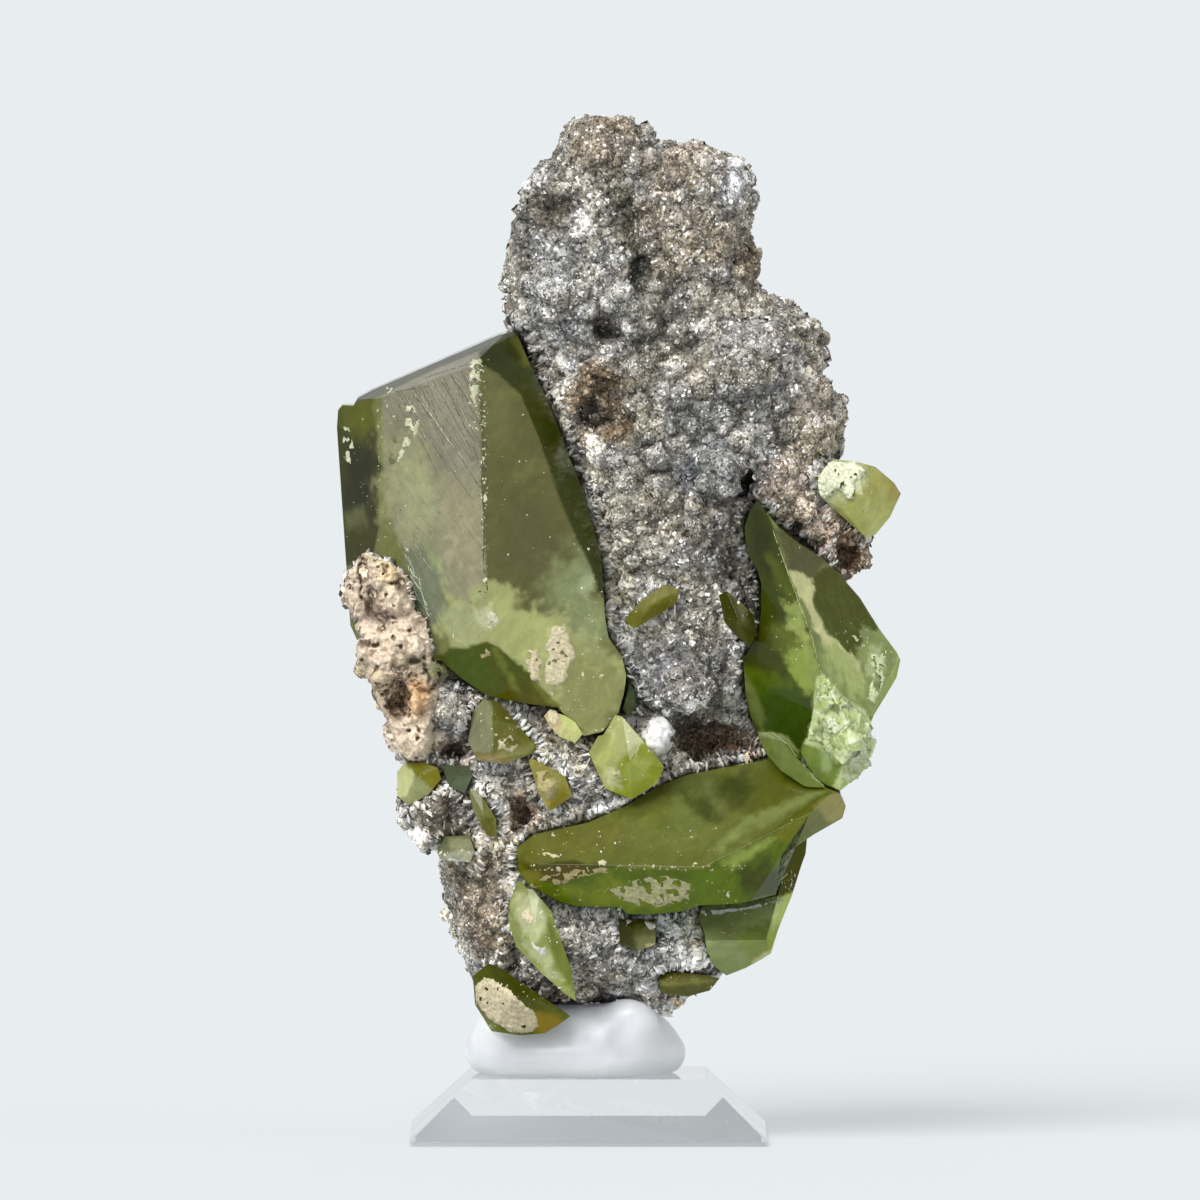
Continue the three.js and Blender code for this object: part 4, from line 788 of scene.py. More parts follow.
# tints of the rock's front: centre and reach in pixels, colour, share
ROCK_ZONES = [
    # greys of the top block and its shoulders
    # painted shade down the groove between the lobes
    ((626, 205), (10, 26), (112, 110, 92), 0.7),
    ((634, 235), (10, 26), (104, 104, 84), 0.7),
    ((640, 268), (12, 24), (88, 90, 72), 0.75),
    ((622, 305), (16, 16), (112, 110, 96), 0.6),
    ((684, 232), (52, 44), (134, 124, 110), 0.75),
    ((664, 330), (28, 44), (118, 114, 98), 0.65),
    ((702, 282), (32, 12), (106, 98, 86), 0.7),
    ((745, 355), (60, 56), (128, 122, 113), 0.6),
    ((705, 408), (44, 26), (110, 108, 100), 0.75),
    ((690, 368), (15, 13), (184, 176, 166), 0.8),
    ((550, 400), (22, 70), (182, 172, 154), 0.6),
    ((552, 345), (16, 24), (226, 220, 208), 0.85),
    ((668, 196), (13, 13), (196, 184, 168), 0.7),
    ((640, 415), (16, 62), (112, 107, 94), 0.75),
    ((620, 520), (34, 50), (146, 144, 134), 0.6),
    ((715, 474), (34, 34), (116, 119, 121), 0.7),
    ((700, 462), (16, 16), (94, 97, 100), 0.7),
    # painted light where the right crystal shades the rock
    ((800, 500), (44, 44), (196, 180, 166), 0.85),
    ((556, 286), (46, 56), (156, 155, 153), 0.7),
    ((748, 392), (26, 12), (108, 112, 118), 0.6),
    ((700, 590), (44, 60), (112, 110, 106), 0.6),
    # painted highlight on the top block's upper right
    ((734, 178), (15, 26), (236, 233, 230), 0.9),
    ((582, 222), (16, 18), (206, 204, 201), 0.75),
    ((540, 178), (14, 10), (206, 202, 196), 0.6),
    ((574, 372), (10, 9), (230, 228, 224), 0.9),
    ((545, 390), (9, 9), (214, 212, 208), 0.6),
    ((812, 425), (24, 60), (196, 184, 168), 0.8),
    # painted light beside the crystals, where they cast shade on the rock
    ((610, 585), (14, 52), (242, 232, 214), 0.85),
    ((588, 478), (11, 56), (250, 242, 228), 0.9),
    ((818, 548), (20, 30), (216, 194, 176), 0.85),
    ((738, 550), (10, 40), (186, 180, 172), 0.7),
    # brown tints and hollows
    ((608, 148), (36, 24), (114, 101, 84), 0.75),
    ((684, 168), (34, 22), (146, 134, 119), 0.65),
    # painted shade in a hollow and down the top block's left edge
    ((548, 214), (16, 22), (88, 76, 58), 0.7),
    ((522, 238), (16, 34), (84, 80, 70), 0.75),
    ((746, 262), (14, 28), (134, 117, 88), 0.85),
    ((604, 384), (24, 24), (128, 106, 74), 0.85),
    ((612, 430), (18, 24), (116, 94, 62), 0.9),
    ((582, 404), (12, 26), (124, 104, 78), 0.8),
    # painted shadow in the hollow's core
    ((592, 410), (12, 13), (40, 28, 18), 1.0),
    ((776, 462), (14, 14), (176, 158, 144), 0.6),
    ((768, 524), (12, 14), (206, 196, 184), 0.8),
    ((696, 520), (60, 24), (116, 106, 97), 0.5),
    ((846, 552), (17, 38), (148, 124, 102), 0.85),
    ((716, 746), (44, 24), (112, 91, 68), 0.95),
    # painted shadow under the lump at the hollow's upper left
    ((692, 730), (22, 9), (46, 34, 28), 0.9),
    ((734, 756), (26, 11), (130, 104, 76), 0.85),
    # the hollow's pale lower lip: bright comb druse, with painted light where the lip catches it
    ((722, 766), (46, 8), (238, 230, 220), 0.9),
    # painted light on the rock that the long crystal shades
    ((634, 804), (44, 12), (246, 242, 236), 0.9),
    ((682, 670), (13, 15), (132, 116, 109), 0.6),
    ((690, 680), (50, 38), (84, 83, 84), 0.85),
    ((694, 706), (13, 9), (232, 232, 232), 0.85),
    ((736, 690), (10, 14), (200, 199, 198), 0.7),
    ((522, 812), (16, 22), (112, 88, 64), 0.8),
    ((457, 752), (20, 18), (88, 72, 54), 0.9),
    ((478, 895), (34, 60), (66, 57, 46), 0.85),
    ((444, 806), (38, 26), (66, 58, 49), 0.9),
    ((494, 960), (24, 40), (112, 98, 80), 0.7),
    ((504, 832), (18, 16), (206, 192, 168), 0.7),
    ((600, 930), (50, 40), (136, 134, 131), 0.7),
    # painted light below the long crystal, where it casts shade
    ((660, 924), (50, 10), (226, 223, 218), 0.85),
    ((548, 986), (16, 30), (70, 60, 50), 0.8),
    ((604, 970), (54, 32), (98, 96, 92), 0.75),
    ((685, 1000), (20, 12), (188, 162, 128), 0.7),
    # painted shade in crevices and under a ledge, then the bare grey spot in the cream crust
    ((608, 331), (15, 6), (58, 50, 42), 0.85),
    ((562, 204), (7, 13), (62, 52, 42), 0.7),
    ((745, 482), (6, 22), (66, 52, 42), 0.85),
    ((456, 708), (22, 26), (122, 120, 116), 0.9),
]
# cream crust at the left
CREAM_ZONES = [
    ((356, 582), (26, 40), (196, 178, 156), 0.98),
    ((389, 583), (30, 42), (206, 188, 164), 0.98),
    ((392, 642), (64, 52), (190, 172, 148), 0.98),
    ((412, 738), (34, 32), (212, 196, 174), 0.98),
    ((382, 700), (28, 34), (196, 174, 146), 0.98),
]
# a bare grey spot in the cream crust
BARE_SPOT = ((456, 708), (22, 26))
# swells and hollows of the rock's front: centre and reach in pixels, height in millimetres, level share
RELIEF = [
    ((600, 142), (36, 32), 0.9, 0.0),
    ((598, 216), (24, 34), 0.9, 0.0),
    ((556, 296), (42, 38), 1.1, 0.0),
    ((612, 304), (22, 20), 0.9, 0.0),
    ((704, 158), (36, 30), 1.0, 0.0),
    ((684, 236), (46, 40), 1.5, 0.1),
    ((756, 352), (62, 60), 1.5, 0.0),
    ((688, 364), (14, 13), 1.0, 0.2),
    ((720, 470), (30, 32), 1.5, 0.1),
    ((654, 420), (26, 40), 0.7, 0.0),
    ((562, 400), (20, 50), 0.6, 0.0),
    ((776, 466), (22, 22), 1.0, 0.0),
    ((806, 510), (20, 20), 0.8, 0.0),
    ((628, 520), (34, 40), 0.8, 0.0),
    ((690, 560), (40, 30), 0.7, 0.0),
    ((690, 688), (36, 32), 1.1, 0.1),
    ((430, 806), (26, 24), 1.0, 0.0),
    ((560, 770), (30, 14), 0.8, 0.0),
    ((455, 712), (20, 26), 1.0, 0.2),
    ((480, 850), (24, 30), 0.8, 0.0),
    ((472, 920), (22, 30), 0.8, 0.0),
    ((600, 960), (30, 30), 0.7, 0.0),
    ((552, 210), (13, 20), -1.3, 0.2),
    ((624, 204), (11, 26), -1.2, 0.1),
    ((632, 234), (11, 26), -1.3, 0.1),
    ((639, 270), (11, 28), -1.6, 0.2),
    ((608, 333), (20, 8), -1.8, 0.3),
    ((700, 285), (40, 12), -0.8, 0.1),
    ((606, 384), (22, 28), -1.4, 0.4),
    ((616, 424), (20, 28), -1.2, 0.3),
    ((594, 408), (11, 13), -1.6, 0.3),
    ((745, 482), (7, 24), -1.8, 0.4),
    ((698, 446), (14, 10), -1.0, 0.2),
    ((744, 258), (13, 24), -1.3, 0.2),
    ((664, 330), (14, 40), -0.7, 0.1),
    ((716, 744), (40, 22), -1.3, 0.5),
    ((846, 550), (14, 32), -1.2, 0.3),
    ((522, 812), (12, 18), -1.2, 0.3),
    ((457, 752), (14, 12), -1.2, 0.3),
    ((563, 922), (8, 9), -1.1, 0.3),
    ((583, 935), (7, 16), -0.8, 0.3),
    ((514, 960), (10, 40), -1.2, 0.2),
]


def relief(points):
    """How far the rock's front swells out at millimetre points, in millimetres."""
    px, py = seen_at(points)
    ragged = 0.6 * (rough_noise(points, 1.8, 78) - 0.5)
    return sum(height * (1 - smooth(from_centre(px, py, centre, reach) + ragged, level, 1.15))
               for centre, reach, height, level in RELIEF)


def rock_tint(points):
    """The rock's colour at millimetre points, with painted light and shade, and the share of cream crust
    there.
    """
    spots = points + np.stack([soft_noise(points, 2.4, n) - 0.5 for n in (21, 22, 23)], axis=1) * 2.4
    own = cells(points, KNOB, KNOB_SALT)[2]
    patchy = smooth(rough_noise(points, 3.0, 31), 0.25, 0.75)
    tint = np.array(ROCK_GREY) * (0.5 + 0.8 * patchy + 0.2 * own)[:, None]
    tint *= (0.58 + 0.84 * rough_noise(points, 1.1, 91))[:, None]
    tint *= 1 - 0.6 * smooth(rough_noise(points, 0.8, 97), 0.38, 0.28)[:, None]
    tint = blend(tint, ROCK_BROWN, smooth(rough_noise(points, 6.5, 41), 0.5, 0.72) * 0.45)
    # painted light: lighter below about 40 mm, where the crystals above shade the rock
    tint = tint * (1 + 0.35 * smooth(points[:, 2], 40.0, 28.0))[:, None]
    front = smooth(-points[:, 1], -6.0, 0.0)

    def near(centre, reach):
        far = from_centre(spots[:, 0], spots[:, 2], at(*centre, ZONE_DEPTH), np.array(reach) * PIXEL)
        return (1 - smooth(far, 0.6, 1.35)) * front

    cream = np.zeros(len(points))
    for centre, reach, colour, share in CREAM_ZONES:
        here = share * near(centre, reach)
        tint = blend(tint, rgb(*colour), here)
        cream = np.maximum(cream, here)
    for centre, reach, colour, share in ROCK_ZONES:
        tint = blend(tint, rgb(*colour), share * near(centre, reach))
    cream = cream * (1 - 0.9 * near(*BARE_SPOT))
    # painted shade and light: darker in the relief's hollows, lighter on its swells
    level = np.clip(relief(points), -1.6, 1.2) * smooth(-points[:, 1], -4.0, 0.0)
    # painted light: lighter in steps lower down, where the crystals above shade the rock
    bright = 1.26 + 0.42 * smooth(points[:, 2], 58.0, 50.0) + 0.45 * smooth(points[:, 2], 34.0, 26.0)
    hue = smooth(rough_noise(points, 2.6, 95), 0.38, 0.62)[:, None] - 0.5
    tint = tint * (1 + hue * (1 - cream)[:, None] * (0.06, 0.0, -0.13))
    return tint * ((1 + 0.24 * level) * bright * (1 - cream) + 1.1 * cream)[:, None], cream


def clear_of_crystals(points, reach=1.3):
    """How free points are of the crystals, from 0 at their faces to 1 at the reach."""
    found = np.empty(len(points))
    for n, point in enumerate(points):
        hit = crystal_tree.find_nearest(Vector(point) * MM, reach * MM)
        found[n] = reach if hit[0] is None else hit[3] / MM
    return found / reach


def knobs(points, width, salt):
    """Rounded knobs, from about -0.5 in the creases to 0.5, and how far from a crease points are."""
    near, second, _, _ = cells(points, width, salt)
    dome = np.sqrt(np.clip(1 - (near / 0.85) ** 2, 0, 1))
    return dome * (0.45 + 0.55 * smooth(second - near, 0.0, 0.35)) - 0.5, second - near


def rock_mesh():
    """The CAD rock as an even mesh with knobs and hollows, coloured by its points."""
    source = frame["nodes"]["matrix"].data.copy()
    work = opened(source)
    work.to_mesh(source)
    work.free()
    mesh = remeshed(source, ROCK_VOXEL)
    points, normals = points_of(mesh)
    free = smooth(clear_of_crystals(points), 0.2, 1.0)
    large, large_gap = knobs(points, KNOB, KNOB_SALT)
    small, small_gap = knobs(points, SMALL_KNOB, SMALL_SALT)
    grain = rough_noise(points, 0.9, 71) - 0.5
    uneven = 0.15 + 1.7 * soft_noise(points, 5.0, 76)
    broad = rough_noise(points, 4.5, 77) - 0.5
    rise = KNOB_RISE * large * uneven + SMALL_RISE * small + GRAIN_RISE * grain + BROAD_RISE * broad
    rise = rise * free - RISE_DROP
    rise += HUG * (1 - free) + relief(points) * smooth(-normals[:, 1], 0.0, 0.6) * free
    # painted shade: darker in the creases between the knobs
    crease_shade = smooth(large_gap, 0.0, 0.4) * 0.4 + smooth(small_gap, 0.0, 0.3) * 0.28 + 0.34
    tint, _ = rock_tint(points)
    points = points + normals * rise[:, None]
    set_points(mesh, points)
    mesh.update()
    # painted shade in the creases and where the rock meets the crystals
    set_tints(mesh, tint * (crease_shade * (0.68 + 0.32 * free))[:, None])
    return mesh


def rock_look():
    look = Look("rock_ground", Roughness=0.75)
    specks = look.add("SeparateColor", {0: look.cells(0.34, "Color")}).outputs[0]
    fine = look.math("MULTIPLY", look.noise(0.15, 3.0, 0.7), 0.6)
    normal = look.bump(look.math("ADD", look.cells(0.34, "Distance"), fine), 0.8, 0.22)
    return look.done(Base_Color=look.tint(look.span(specks, 0.0, 1.0, (0.35, 1.7))), Normal=normal)


rock = rock_mesh()
put("matrix_rock", rock, rock_look(), ["matrix"])

# Druse: grains all over the rock, and a comb of blades beside the crystals

SOCKET_REACH = 0.6
COMB_REACH = 1.3
GRAIN_BRIGHTEST = 0.9
GRAIN_LEAN = 0.22
GRAIN_SINK = 0.1
BLADE_SINK = 0.12
BLADE_LENGTH, BLADE_WIDTH, BLADE_HEIGHT = (0.45, 1.1), (0.09, 0.26), (0.15, 0.42)
BRIGHT_GRAINS, PLAIN_GRAINS, DARK_GRAINS = (1.6, 3.6), (0.75, 1.35), (0.2, 0.6)
PLAIN_BLADES, DIM_BLADES, DARK_BLADES = (0.45, 0.9), (0.2, 0.42), (0.03, 0.1)


def grainy_look(name, shade, height, settings, bump):
    """The mesh's own colour with a noise of shades over it and a noise of height. A noise is given as its
    width, detail and roughness, then for the shades their least and most."""
    look = Look(name, **settings)
    colour = look.tint(look.span(look.noise(*shade[:3]), 0.3, 0.7, shade[3:]))
    return look.done(Base_Color=colour, Normal=look.bump(look.noise(*height), *bump))


GRAIN_LOOK = grainy_look("druse_grain", (0.18, 3.0, 0.6, 0.75, 1.25), (0.09, 2.0, 0.6), {"Roughness": 0.28},
                         (0.25, 0.05))


def sample_rock(count, weigh, rng):
    """Random points on the rock with their normals, weighed by place and facing."""
    rock.calc_loop_triangles()
    corner = np.empty(len(rock.loop_triangles) * 3, np.int32)
    rock.loop_triangles.foreach_get("vertices", corner)
    triangles = points_of(rock)[0][corner.reshape(-1, 3)]
    cross = np.cross(triangles[:, 1] - triangles[:, 0], triangles[:, 2] - triangles[:, 0])
    area = np.linalg.norm(cross, axis=1)
    normal = cross / np.maximum(area, 1e-12)[:, None]
    weight = area * weigh(triangles.mean(axis=1), normal)
    chosen = rng.choice(len(weight), count, p=weight / weight.sum())
    a, b = rng.random((2, count, 1))
    flip = a + b > 1
    a, b = np.where(flip, 1 - a, a), np.where(flip, 1 - b, b)
    t = triangles[chosen]
    spots = t[:, 0] + a * (t[:, 1] - t[:, 0]) + b * (t[:, 2] - t[:, 0])
    normals = normal[chosen]
    keep = np.array([crystal_tree.ray_cast(Vector(p) * MM, Vector(n), SOCKET_REACH * MM)[0] is None
                     for p, n in zip(spots, normals)])
    return spots[keep], normals[keep]


def leaning(normals, tilt, rng):
    """Right-handed axes, turned at random, whose third leans from the normals."""
    up = unit(normals + rng.normal(size=normals.shape) * tilt)
    side = unit(np.cross(up, rng.normal(size=normals.shape)))
    return side, np.cross(up, side), up


def moved(spots, axes, *steps):
    """Spots moved along each of their three axes."""
    for axis, step in zip(axes, steps):
        spots = spots + axis * np.broadcast_to(step, len(spots))[:, None]
    return spots


def all_faces(count, corners, faces):
    """The faces of one small crystal, repeated for a count of them."""
    start = np.arange(count)[:, None] * corners
    return np.concatenate([start + face for face in faces])


def peaks(spots, axes, length, width, height, rng):
    """A small four-sided crystal at each spot: five points, four slopes."""
    rows = []
    for u, v in ((-1, -1), (1, -1), (1, 1), (-1, 1)):
        along = u * length / 2 * rng.uniform(0.6, 1.2, len(spots))
        beside = v * width / 2 * rng.uniform(0.6, 1.2, len(spots))
        rows.append(moved(spots, axes, along, beside, -GRAIN_SINK))
    top = rng.uniform(-0.4, 0.4, (2, len(spots)))
    rows.append(moved(spots, axes, top[0] * length, top[1] * width, height))
    slopes = all_faces(len(spots), 5, [[0, 1, 4], [1, 2, 4], [2, 3, 4], [3, 0, 4]])
    return np.stack(rows, axis=1).reshape(-1, 3), [slopes]


def roofs(spots, axes, length, width, height, rng):
    """A small ridged crystal at each spot: six points, two slopes and two ends."""
    ridge = rng.uniform(0.15, 0.75, len(spots))
    off = rng.uniform(-0.35, 0.35, len(spots))
    rows = [moved(spots, axes, u * length / 2, v * width / 2, -BLADE_SINK)
            for u, v in ((-1, -1), (1, -1), (1, 1), (-1, 1))]
    rows += [moved(spots, axes, u * length / 2 * ridge, off * width / 2, height) for u in (-1, 1)]
    slopes = all_faces(len(spots), 6, [[0, 1, 5, 4], [2, 3, 4, 5]])
    ends = all_faces(len(spots), 6, [[3, 0, 4], [1, 2, 5]])
    return np.stack(rows, axis=1).reshape(-1, 3), [slopes, ends]


def shades(rng, total, cuts, spans):
    """A random brightness each, out of one of three spans that is picked by chance."""
    kind = rng.random(total)
    first, second, third = [rng.uniform(*span, total) for span in spans]
    return np.where(kind < cuts[0], first, np.where(kind < cuts[1], second, third))


def druse(name, count, weigh, size, seed, mix):
    """Scatters small grains over the rock, few of them on its cream crust. The mix is the share of bright
    grains and the share of dark ones."""
    rng = np.random.default_rng(seed)
    spots, normals = sample_rock(count, weigh, rng)
    tint, cream = rock_tint(spots)
    keep = cream < rng.uniform(0.02, 0.3, len(spots))
    keep &= rng.random(len(spots)) < 0.2 + 0.8 * smooth(clear_of_crystals(spots), 0.45, 0.9)
    spots, normals, tint = spots[keep], normals[keep], tint[keep]
    total = len(spots)
    # flatter and smaller at the rock's outline
    across = smooth(np.abs(normals[:, 1]), 0.1, 0.6)
    scale = size * np.exp(np.clip(rng.normal(size=total), -2, 1.6) * 0.36) * (0.62 + 0.38 * across)
    length = scale * rng.uniform(0.9, 1.3, total)
    width = scale * rng.uniform(0.7, 1.1, total)
    height = scale * rng.uniform(0.15, 0.45, total) * (0.4 + 0.6 * across)
    bright = shades(rng, total, (mix[0], 1 - mix[1]), (BRIGHT_GRAINS, PLAIN_GRAINS, DARK_GRAINS))
    # painted shade: grains darker in the creases between the knobs
    bright *= 0.48 + 0.62 * smooth(knobs(spots, KNOB, KNOB_SALT)[1], 0.0, 0.36)
    warm = 1 - np.array((0.0, 0.05, 0.16)) * smooth(bright, 1.0, 0.3)[:, None]
    tint = blend(tint, tint.mean(axis=1, keepdims=True), smooth(bright, 1.2, 2.6) * 0.6)
    tint = np.clip(tint * warm * bright[:, None], 0, GRAIN_BRIGHTEST)
    points, faces = peaks(spots, leaning(normals, GRAIN_LEAN, rng), length, width, height, rng)
    put(name, mesh_of(name, points, faces, np.repeat(tint, 5, axis=0)), GRAIN_LOOK)


def comb(name, count, seed):
    """Bright blades that lie on the rock and point at the crystals, like the teeth of a comb."""
    rng = np.random.default_rng(seed)
    spots, normals = sample_rock(count, lambda middle, normal: smooth(-normal[:, 1], -0.5, 0.2), rng)
    towards = np.zeros_like(spots)
    away = np.full(len(spots), 9.0)
    for n, point in enumerate(spots):
        hit = crystal_tree.find_nearest(Vector(point) * MM, COMB_REACH * MM)
        if hit[0] is not None:
            towards[n] = np.array(hit[0]) / MM - point
            away[n] = max(hit[3] / MM, 1e-3)
    keep = (away < COMB_REACH) & (rng.random(len(spots)) < 1.3 - away / COMB_REACH)
    spots, normals, towards, away = spots[keep], normals[keep], towards[keep], away[keep]
    total = len(spots)
    side = towards / away[:, None] + rng.normal(size=spots.shape) * 0.3
    up = unit(normals + rng.normal(size=spots.shape) * 0.2)
    side = unit(side - up * (side * up).sum(axis=1, keepdims=True) * 0.8)
    across = unit(np.cross(up, side))
    sizes = [rng.uniform(*span, total) for span in (BLADE_LENGTH, BLADE_WIDTH, BLADE_HEIGHT)]
    bright = shades(rng, total, (0.55, 0.8), (PLAIN_BLADES, DIM_BLADES, DARK_BLADES))
    # painted light: blades brighter close to the crystals, against their shade
    bright *= 1.35 - 0.35 * smooth(away, 0.2, 0.9)
    ground, _ = rock_tint(spots)
    tone = ground.mean(axis=1, keepdims=True)
    bright *= np.clip(0.6 + 0.8 * tone[:, 0], 0.65, 1.1)
    tint = bright[:, None] * (0.5 + 0.5 * ground / np.maximum(tone, 1e-3))
    tint = np.clip(tint, 0, GRAIN_BRIGHTEST)
    points, faces = roofs(spots, (side, across, np.cross(side, across)), *sizes, rng)
    put(name, mesh_of(name, points, faces, np.repeat(tint, 6, axis=0)), GRAIN_LOOK)


def front(z_low, z_high):
    """Weighs the rock's front between two heights."""
    def weigh(middle, normal):
        return smooth(-normal[:, 1], -0.35, 0.25) * ((middle[:, 2] >= z_low) & (middle[:, 2] < z_high))
    return weigh


def behind(middle, normal):
    """Weighs the rock's back."""
    return 1 - smooth(-normal[:, 1], -0.35, 0.25) + 0.02


druse("druse_top", 40000, front(62, 200), 0.27, 101, (0.2, 0.28))
druse("druse_middle", 36000, front(38, 62), 0.27, 102, (0.24, 0.28))
druse("druse_low", 36000, front(0, 38), 0.29, 103, (0.24, 0.34))
druse("druse_back", 15000, behind, 0.5, 104, (0.14, 0.2))
comb("druse_comb", 44000, 105)

# Crusts, flecks, lines and shards on the crystals

CREAM, WHITE, TAN, CHIP = (198, 186, 152), (222, 222, 208), (166, 154, 104), (190, 192, 160)
CRUST_STEP, CREAM_STEP, LINE_STEP = 0.8, 1.0, 2.0
CRUST_STRETCH, CREAM_STRETCH, BROKEN_STRETCH, LINE_STRETCH = 0.5, 1.2, 0.8, 0.4
LINE_SEED, FLECK_SEED = 204, 202
# how far a line's ends and bends stray in pixels, and how often a step of it is left out
LINE_STRAY, BEND_STRAY, LINE_BENDS, LINE_GAPS = 1.5, 1.3, 5, 0.08
LIFT = 0.012
FLECK_SIDES = 6
# thin deposits: colour, how much is eaten away, height in millimetres, outline
CRUSTS = [
    (CREAM, 0.22, 0.12, [(550, 623), (566, 621), (572, 638), (580, 655), (572, 667), (571, 678), (560, 688),
        (543, 685), (541, 670), (546, 656), (542, 645), (546, 636)]),
    (CREAM, 0.36, 0.1, [(525, 643), (540, 646), (546, 662), (541, 672), (546, 684), (530, 684), (523, 662)]),
    (TAN, 0.42, 0.05, [(475, 642), (490, 644), (496, 656), (480, 660)]),
    (CHIP, 0.36, 0.06, [(484, 606), (498, 608), (504, 622), (492, 634), (484, 626)]),
    (CREAM, 0.4, 0.08, [(536, 851), (548, 848), (567, 853), (562, 859), (545, 858)]),
    (TAN, 0.4, 0.05, [(518, 886), (545, 872), (575, 866), (616, 863), (612, 873), (585, 877), (560, 886),
        (535, 890)]),
    ((168, 164, 120), 0.37, 0.05, [(604, 888), (638, 874), (668, 872), (694, 880), (690, 899), (655, 909),
        (624, 903)]),
    (CREAM, 0.3, 0.1, [(595, 859), (604, 856), (613, 861), (606, 867), (597, 865)]),
    (CREAM, 0.3, 0.1, [(628, 861), (636, 858), (643, 864), (634, 869)]),
    (CREAM, 0.35, 0.06, [(689, 860), (706, 858), (703, 865), (692, 865)]),
    (WHITE, 0.3, 0.08, [(724, 888), (731, 890), (730, 898), (724, 896)]),
    (CREAM, 0.44, 0.07, [(495, 737), (512, 732), (522, 744), (513, 755), (496, 750)]),
    (TAN, 0.35, 0.08, [(533, 769), (550, 765), (561, 780), (557, 799), (546, 803), (536, 790)]),
    (CREAM, 0.48, 0.08, [(540, 772), (552, 770), (558, 786), (550, 796)]),
    (CREAM, 0.4, 0.07, [(515, 905), (530, 902), (541, 915), (533, 926), (517, 919)]),
    (WHITE, 0.44, 0.06, [(527, 935), (549, 944), (553, 962), (540, 957), (531, 948)]),
    (CREAM, 0.27, 0.14, [(472, 984), (484, 972), (504, 980), (520, 994), (538, 1010), (542, 1026),
        (530, 1034), (508, 1034), (488, 1020), (474, 1002)]),
    (TAN, 0.4, 0.08, [(640, 940), (659, 939), (662, 955), (645, 957)]),
    ((210, 213, 182), 0.32, 0.36, [(808, 468), (822, 458), (857, 458), (870, 472), (858, 484), (864, 497),
        (848, 503), (838, 494), (824, 502), (812, 496)]),
    (CREAM, 0.25, 0.12, [(543, 708), (556, 705), (563, 716), (557, 729), (546, 723)]),
    (CHIP, 0.4, 0.07, [(404, 404), (418, 402), (424, 424), (414, 446), (400, 468), (393, 462), (402, 440)]),
    ((88, 92, 52), 0.44, 0.03, [(388, 436), (400, 430), (404, 452), (396, 474), (386, 466)]),
    ((140, 152, 98), 0.24, 0.1, [(890, 652), (904, 660), (901, 678), (888, 704), (876, 716), (870, 706),
        (882, 684)]),
    (CHIP, 0.42, 0.05, [(341, 424), (352, 426), (357, 446), (352, 470), (343, 460)]),
    (CHIP, 0.48, 0.05, [(384, 384), (398, 384), (396, 401), (385, 401)]),
    (CHIP, 0.5, 0.05, [(466, 356), (484, 354), (484, 376), (478, 410), (468, 396)]),
    ((206, 216, 166), 0.42, 0.1, [(866, 650), (888, 648), (888, 680), (876, 706), (862, 700), (870, 672)]),
    ((186, 198, 140), 0.5, 0.06, [(838, 640), (862, 626), (876, 640), (860, 652), (850, 650)]),
    (CREAM, 0.44, 0.06, [(608, 768), (622, 766), (624, 780), (610, 782)]),
    (CHIP, 0.46, 0.06, [(786, 872), (794, 862), (796, 888), (788, 892)]),
    ((186, 184, 180), 0.36, 0.3, [(690, 912), (700, 906), (742, 903), (784, 895), (787, 902), (745, 912),
        (706, 918)]),
    ((176, 174, 168), 0.42, 0.25, [(622, 916), (646, 916), (662, 922), (656, 932), (640, 928), (626, 930)]),
]
# chips: centre and reach in pixels, count, size in millimetres, colour
FLECKS = [
    ((485, 470), (4, 110), 80, 0.1, CHIP),
    ((484, 480), (4, 130), 80, 0.1, (66, 70, 34)),
    ((478, 395), (8, 36), 50, 0.12, CHIP),
    ((410, 470), (50, 90), 40, 0.08, CHIP),
    ((366, 470), (22, 90), 36, 0.07, CHIP),
    ((382, 480), (5, 90), 40, 0.09, (170, 172, 126)),
    ((575, 690), (30, 20), 40, 0.09, CREAM),
    ((540, 460), (40, 110), 30, 0.06, WHITE),
    ((590, 600), (12, 60), 30, 0.07, WHITE),
    ((630, 840), (90, 16), 30, 0.06, WHITE),
    ((560, 842), (40, 12), 22, 0.08, CREAM),
    ((640, 866), (110, 3), 60, 0.14, CREAM),
    ((640, 892), (90, 14), 60, 0.09, CREAM),
    ((800, 830), (40, 16), 20, 0.07, WHITE),
    ((786, 600), (16, 60), 40, 0.08, CHIP),
    ((860, 660), (36, 40), 70, 0.1, CHIP),
    ((740, 940), (40, 50), 50, 0.08, CREAM),
    ((788, 878), (8, 14), 20, 0.15, CREAM),
    ((540, 950), (22, 50), 60, 0.09, WHITE),
    ((626, 745), (32, 36), 50, 0.08, WHITE),
    ((510, 735), (30, 24), 30, 0.09, CREAM),
    ((505, 1005), (30, 26), 50, 0.1, CREAM),
    ((850, 490), (30, 24), 70, 0.11, CHIP),
    ((655, 605), (24, 14), 20, 0.06, WHITE),
    ((735, 612), (14, 20), 14, 0.06, WHITE),
    ((455, 855), (16, 6), 30, 0.18, WHITE),
    ((688, 983), (28, 10), 20, 0.09, CREAM),
]
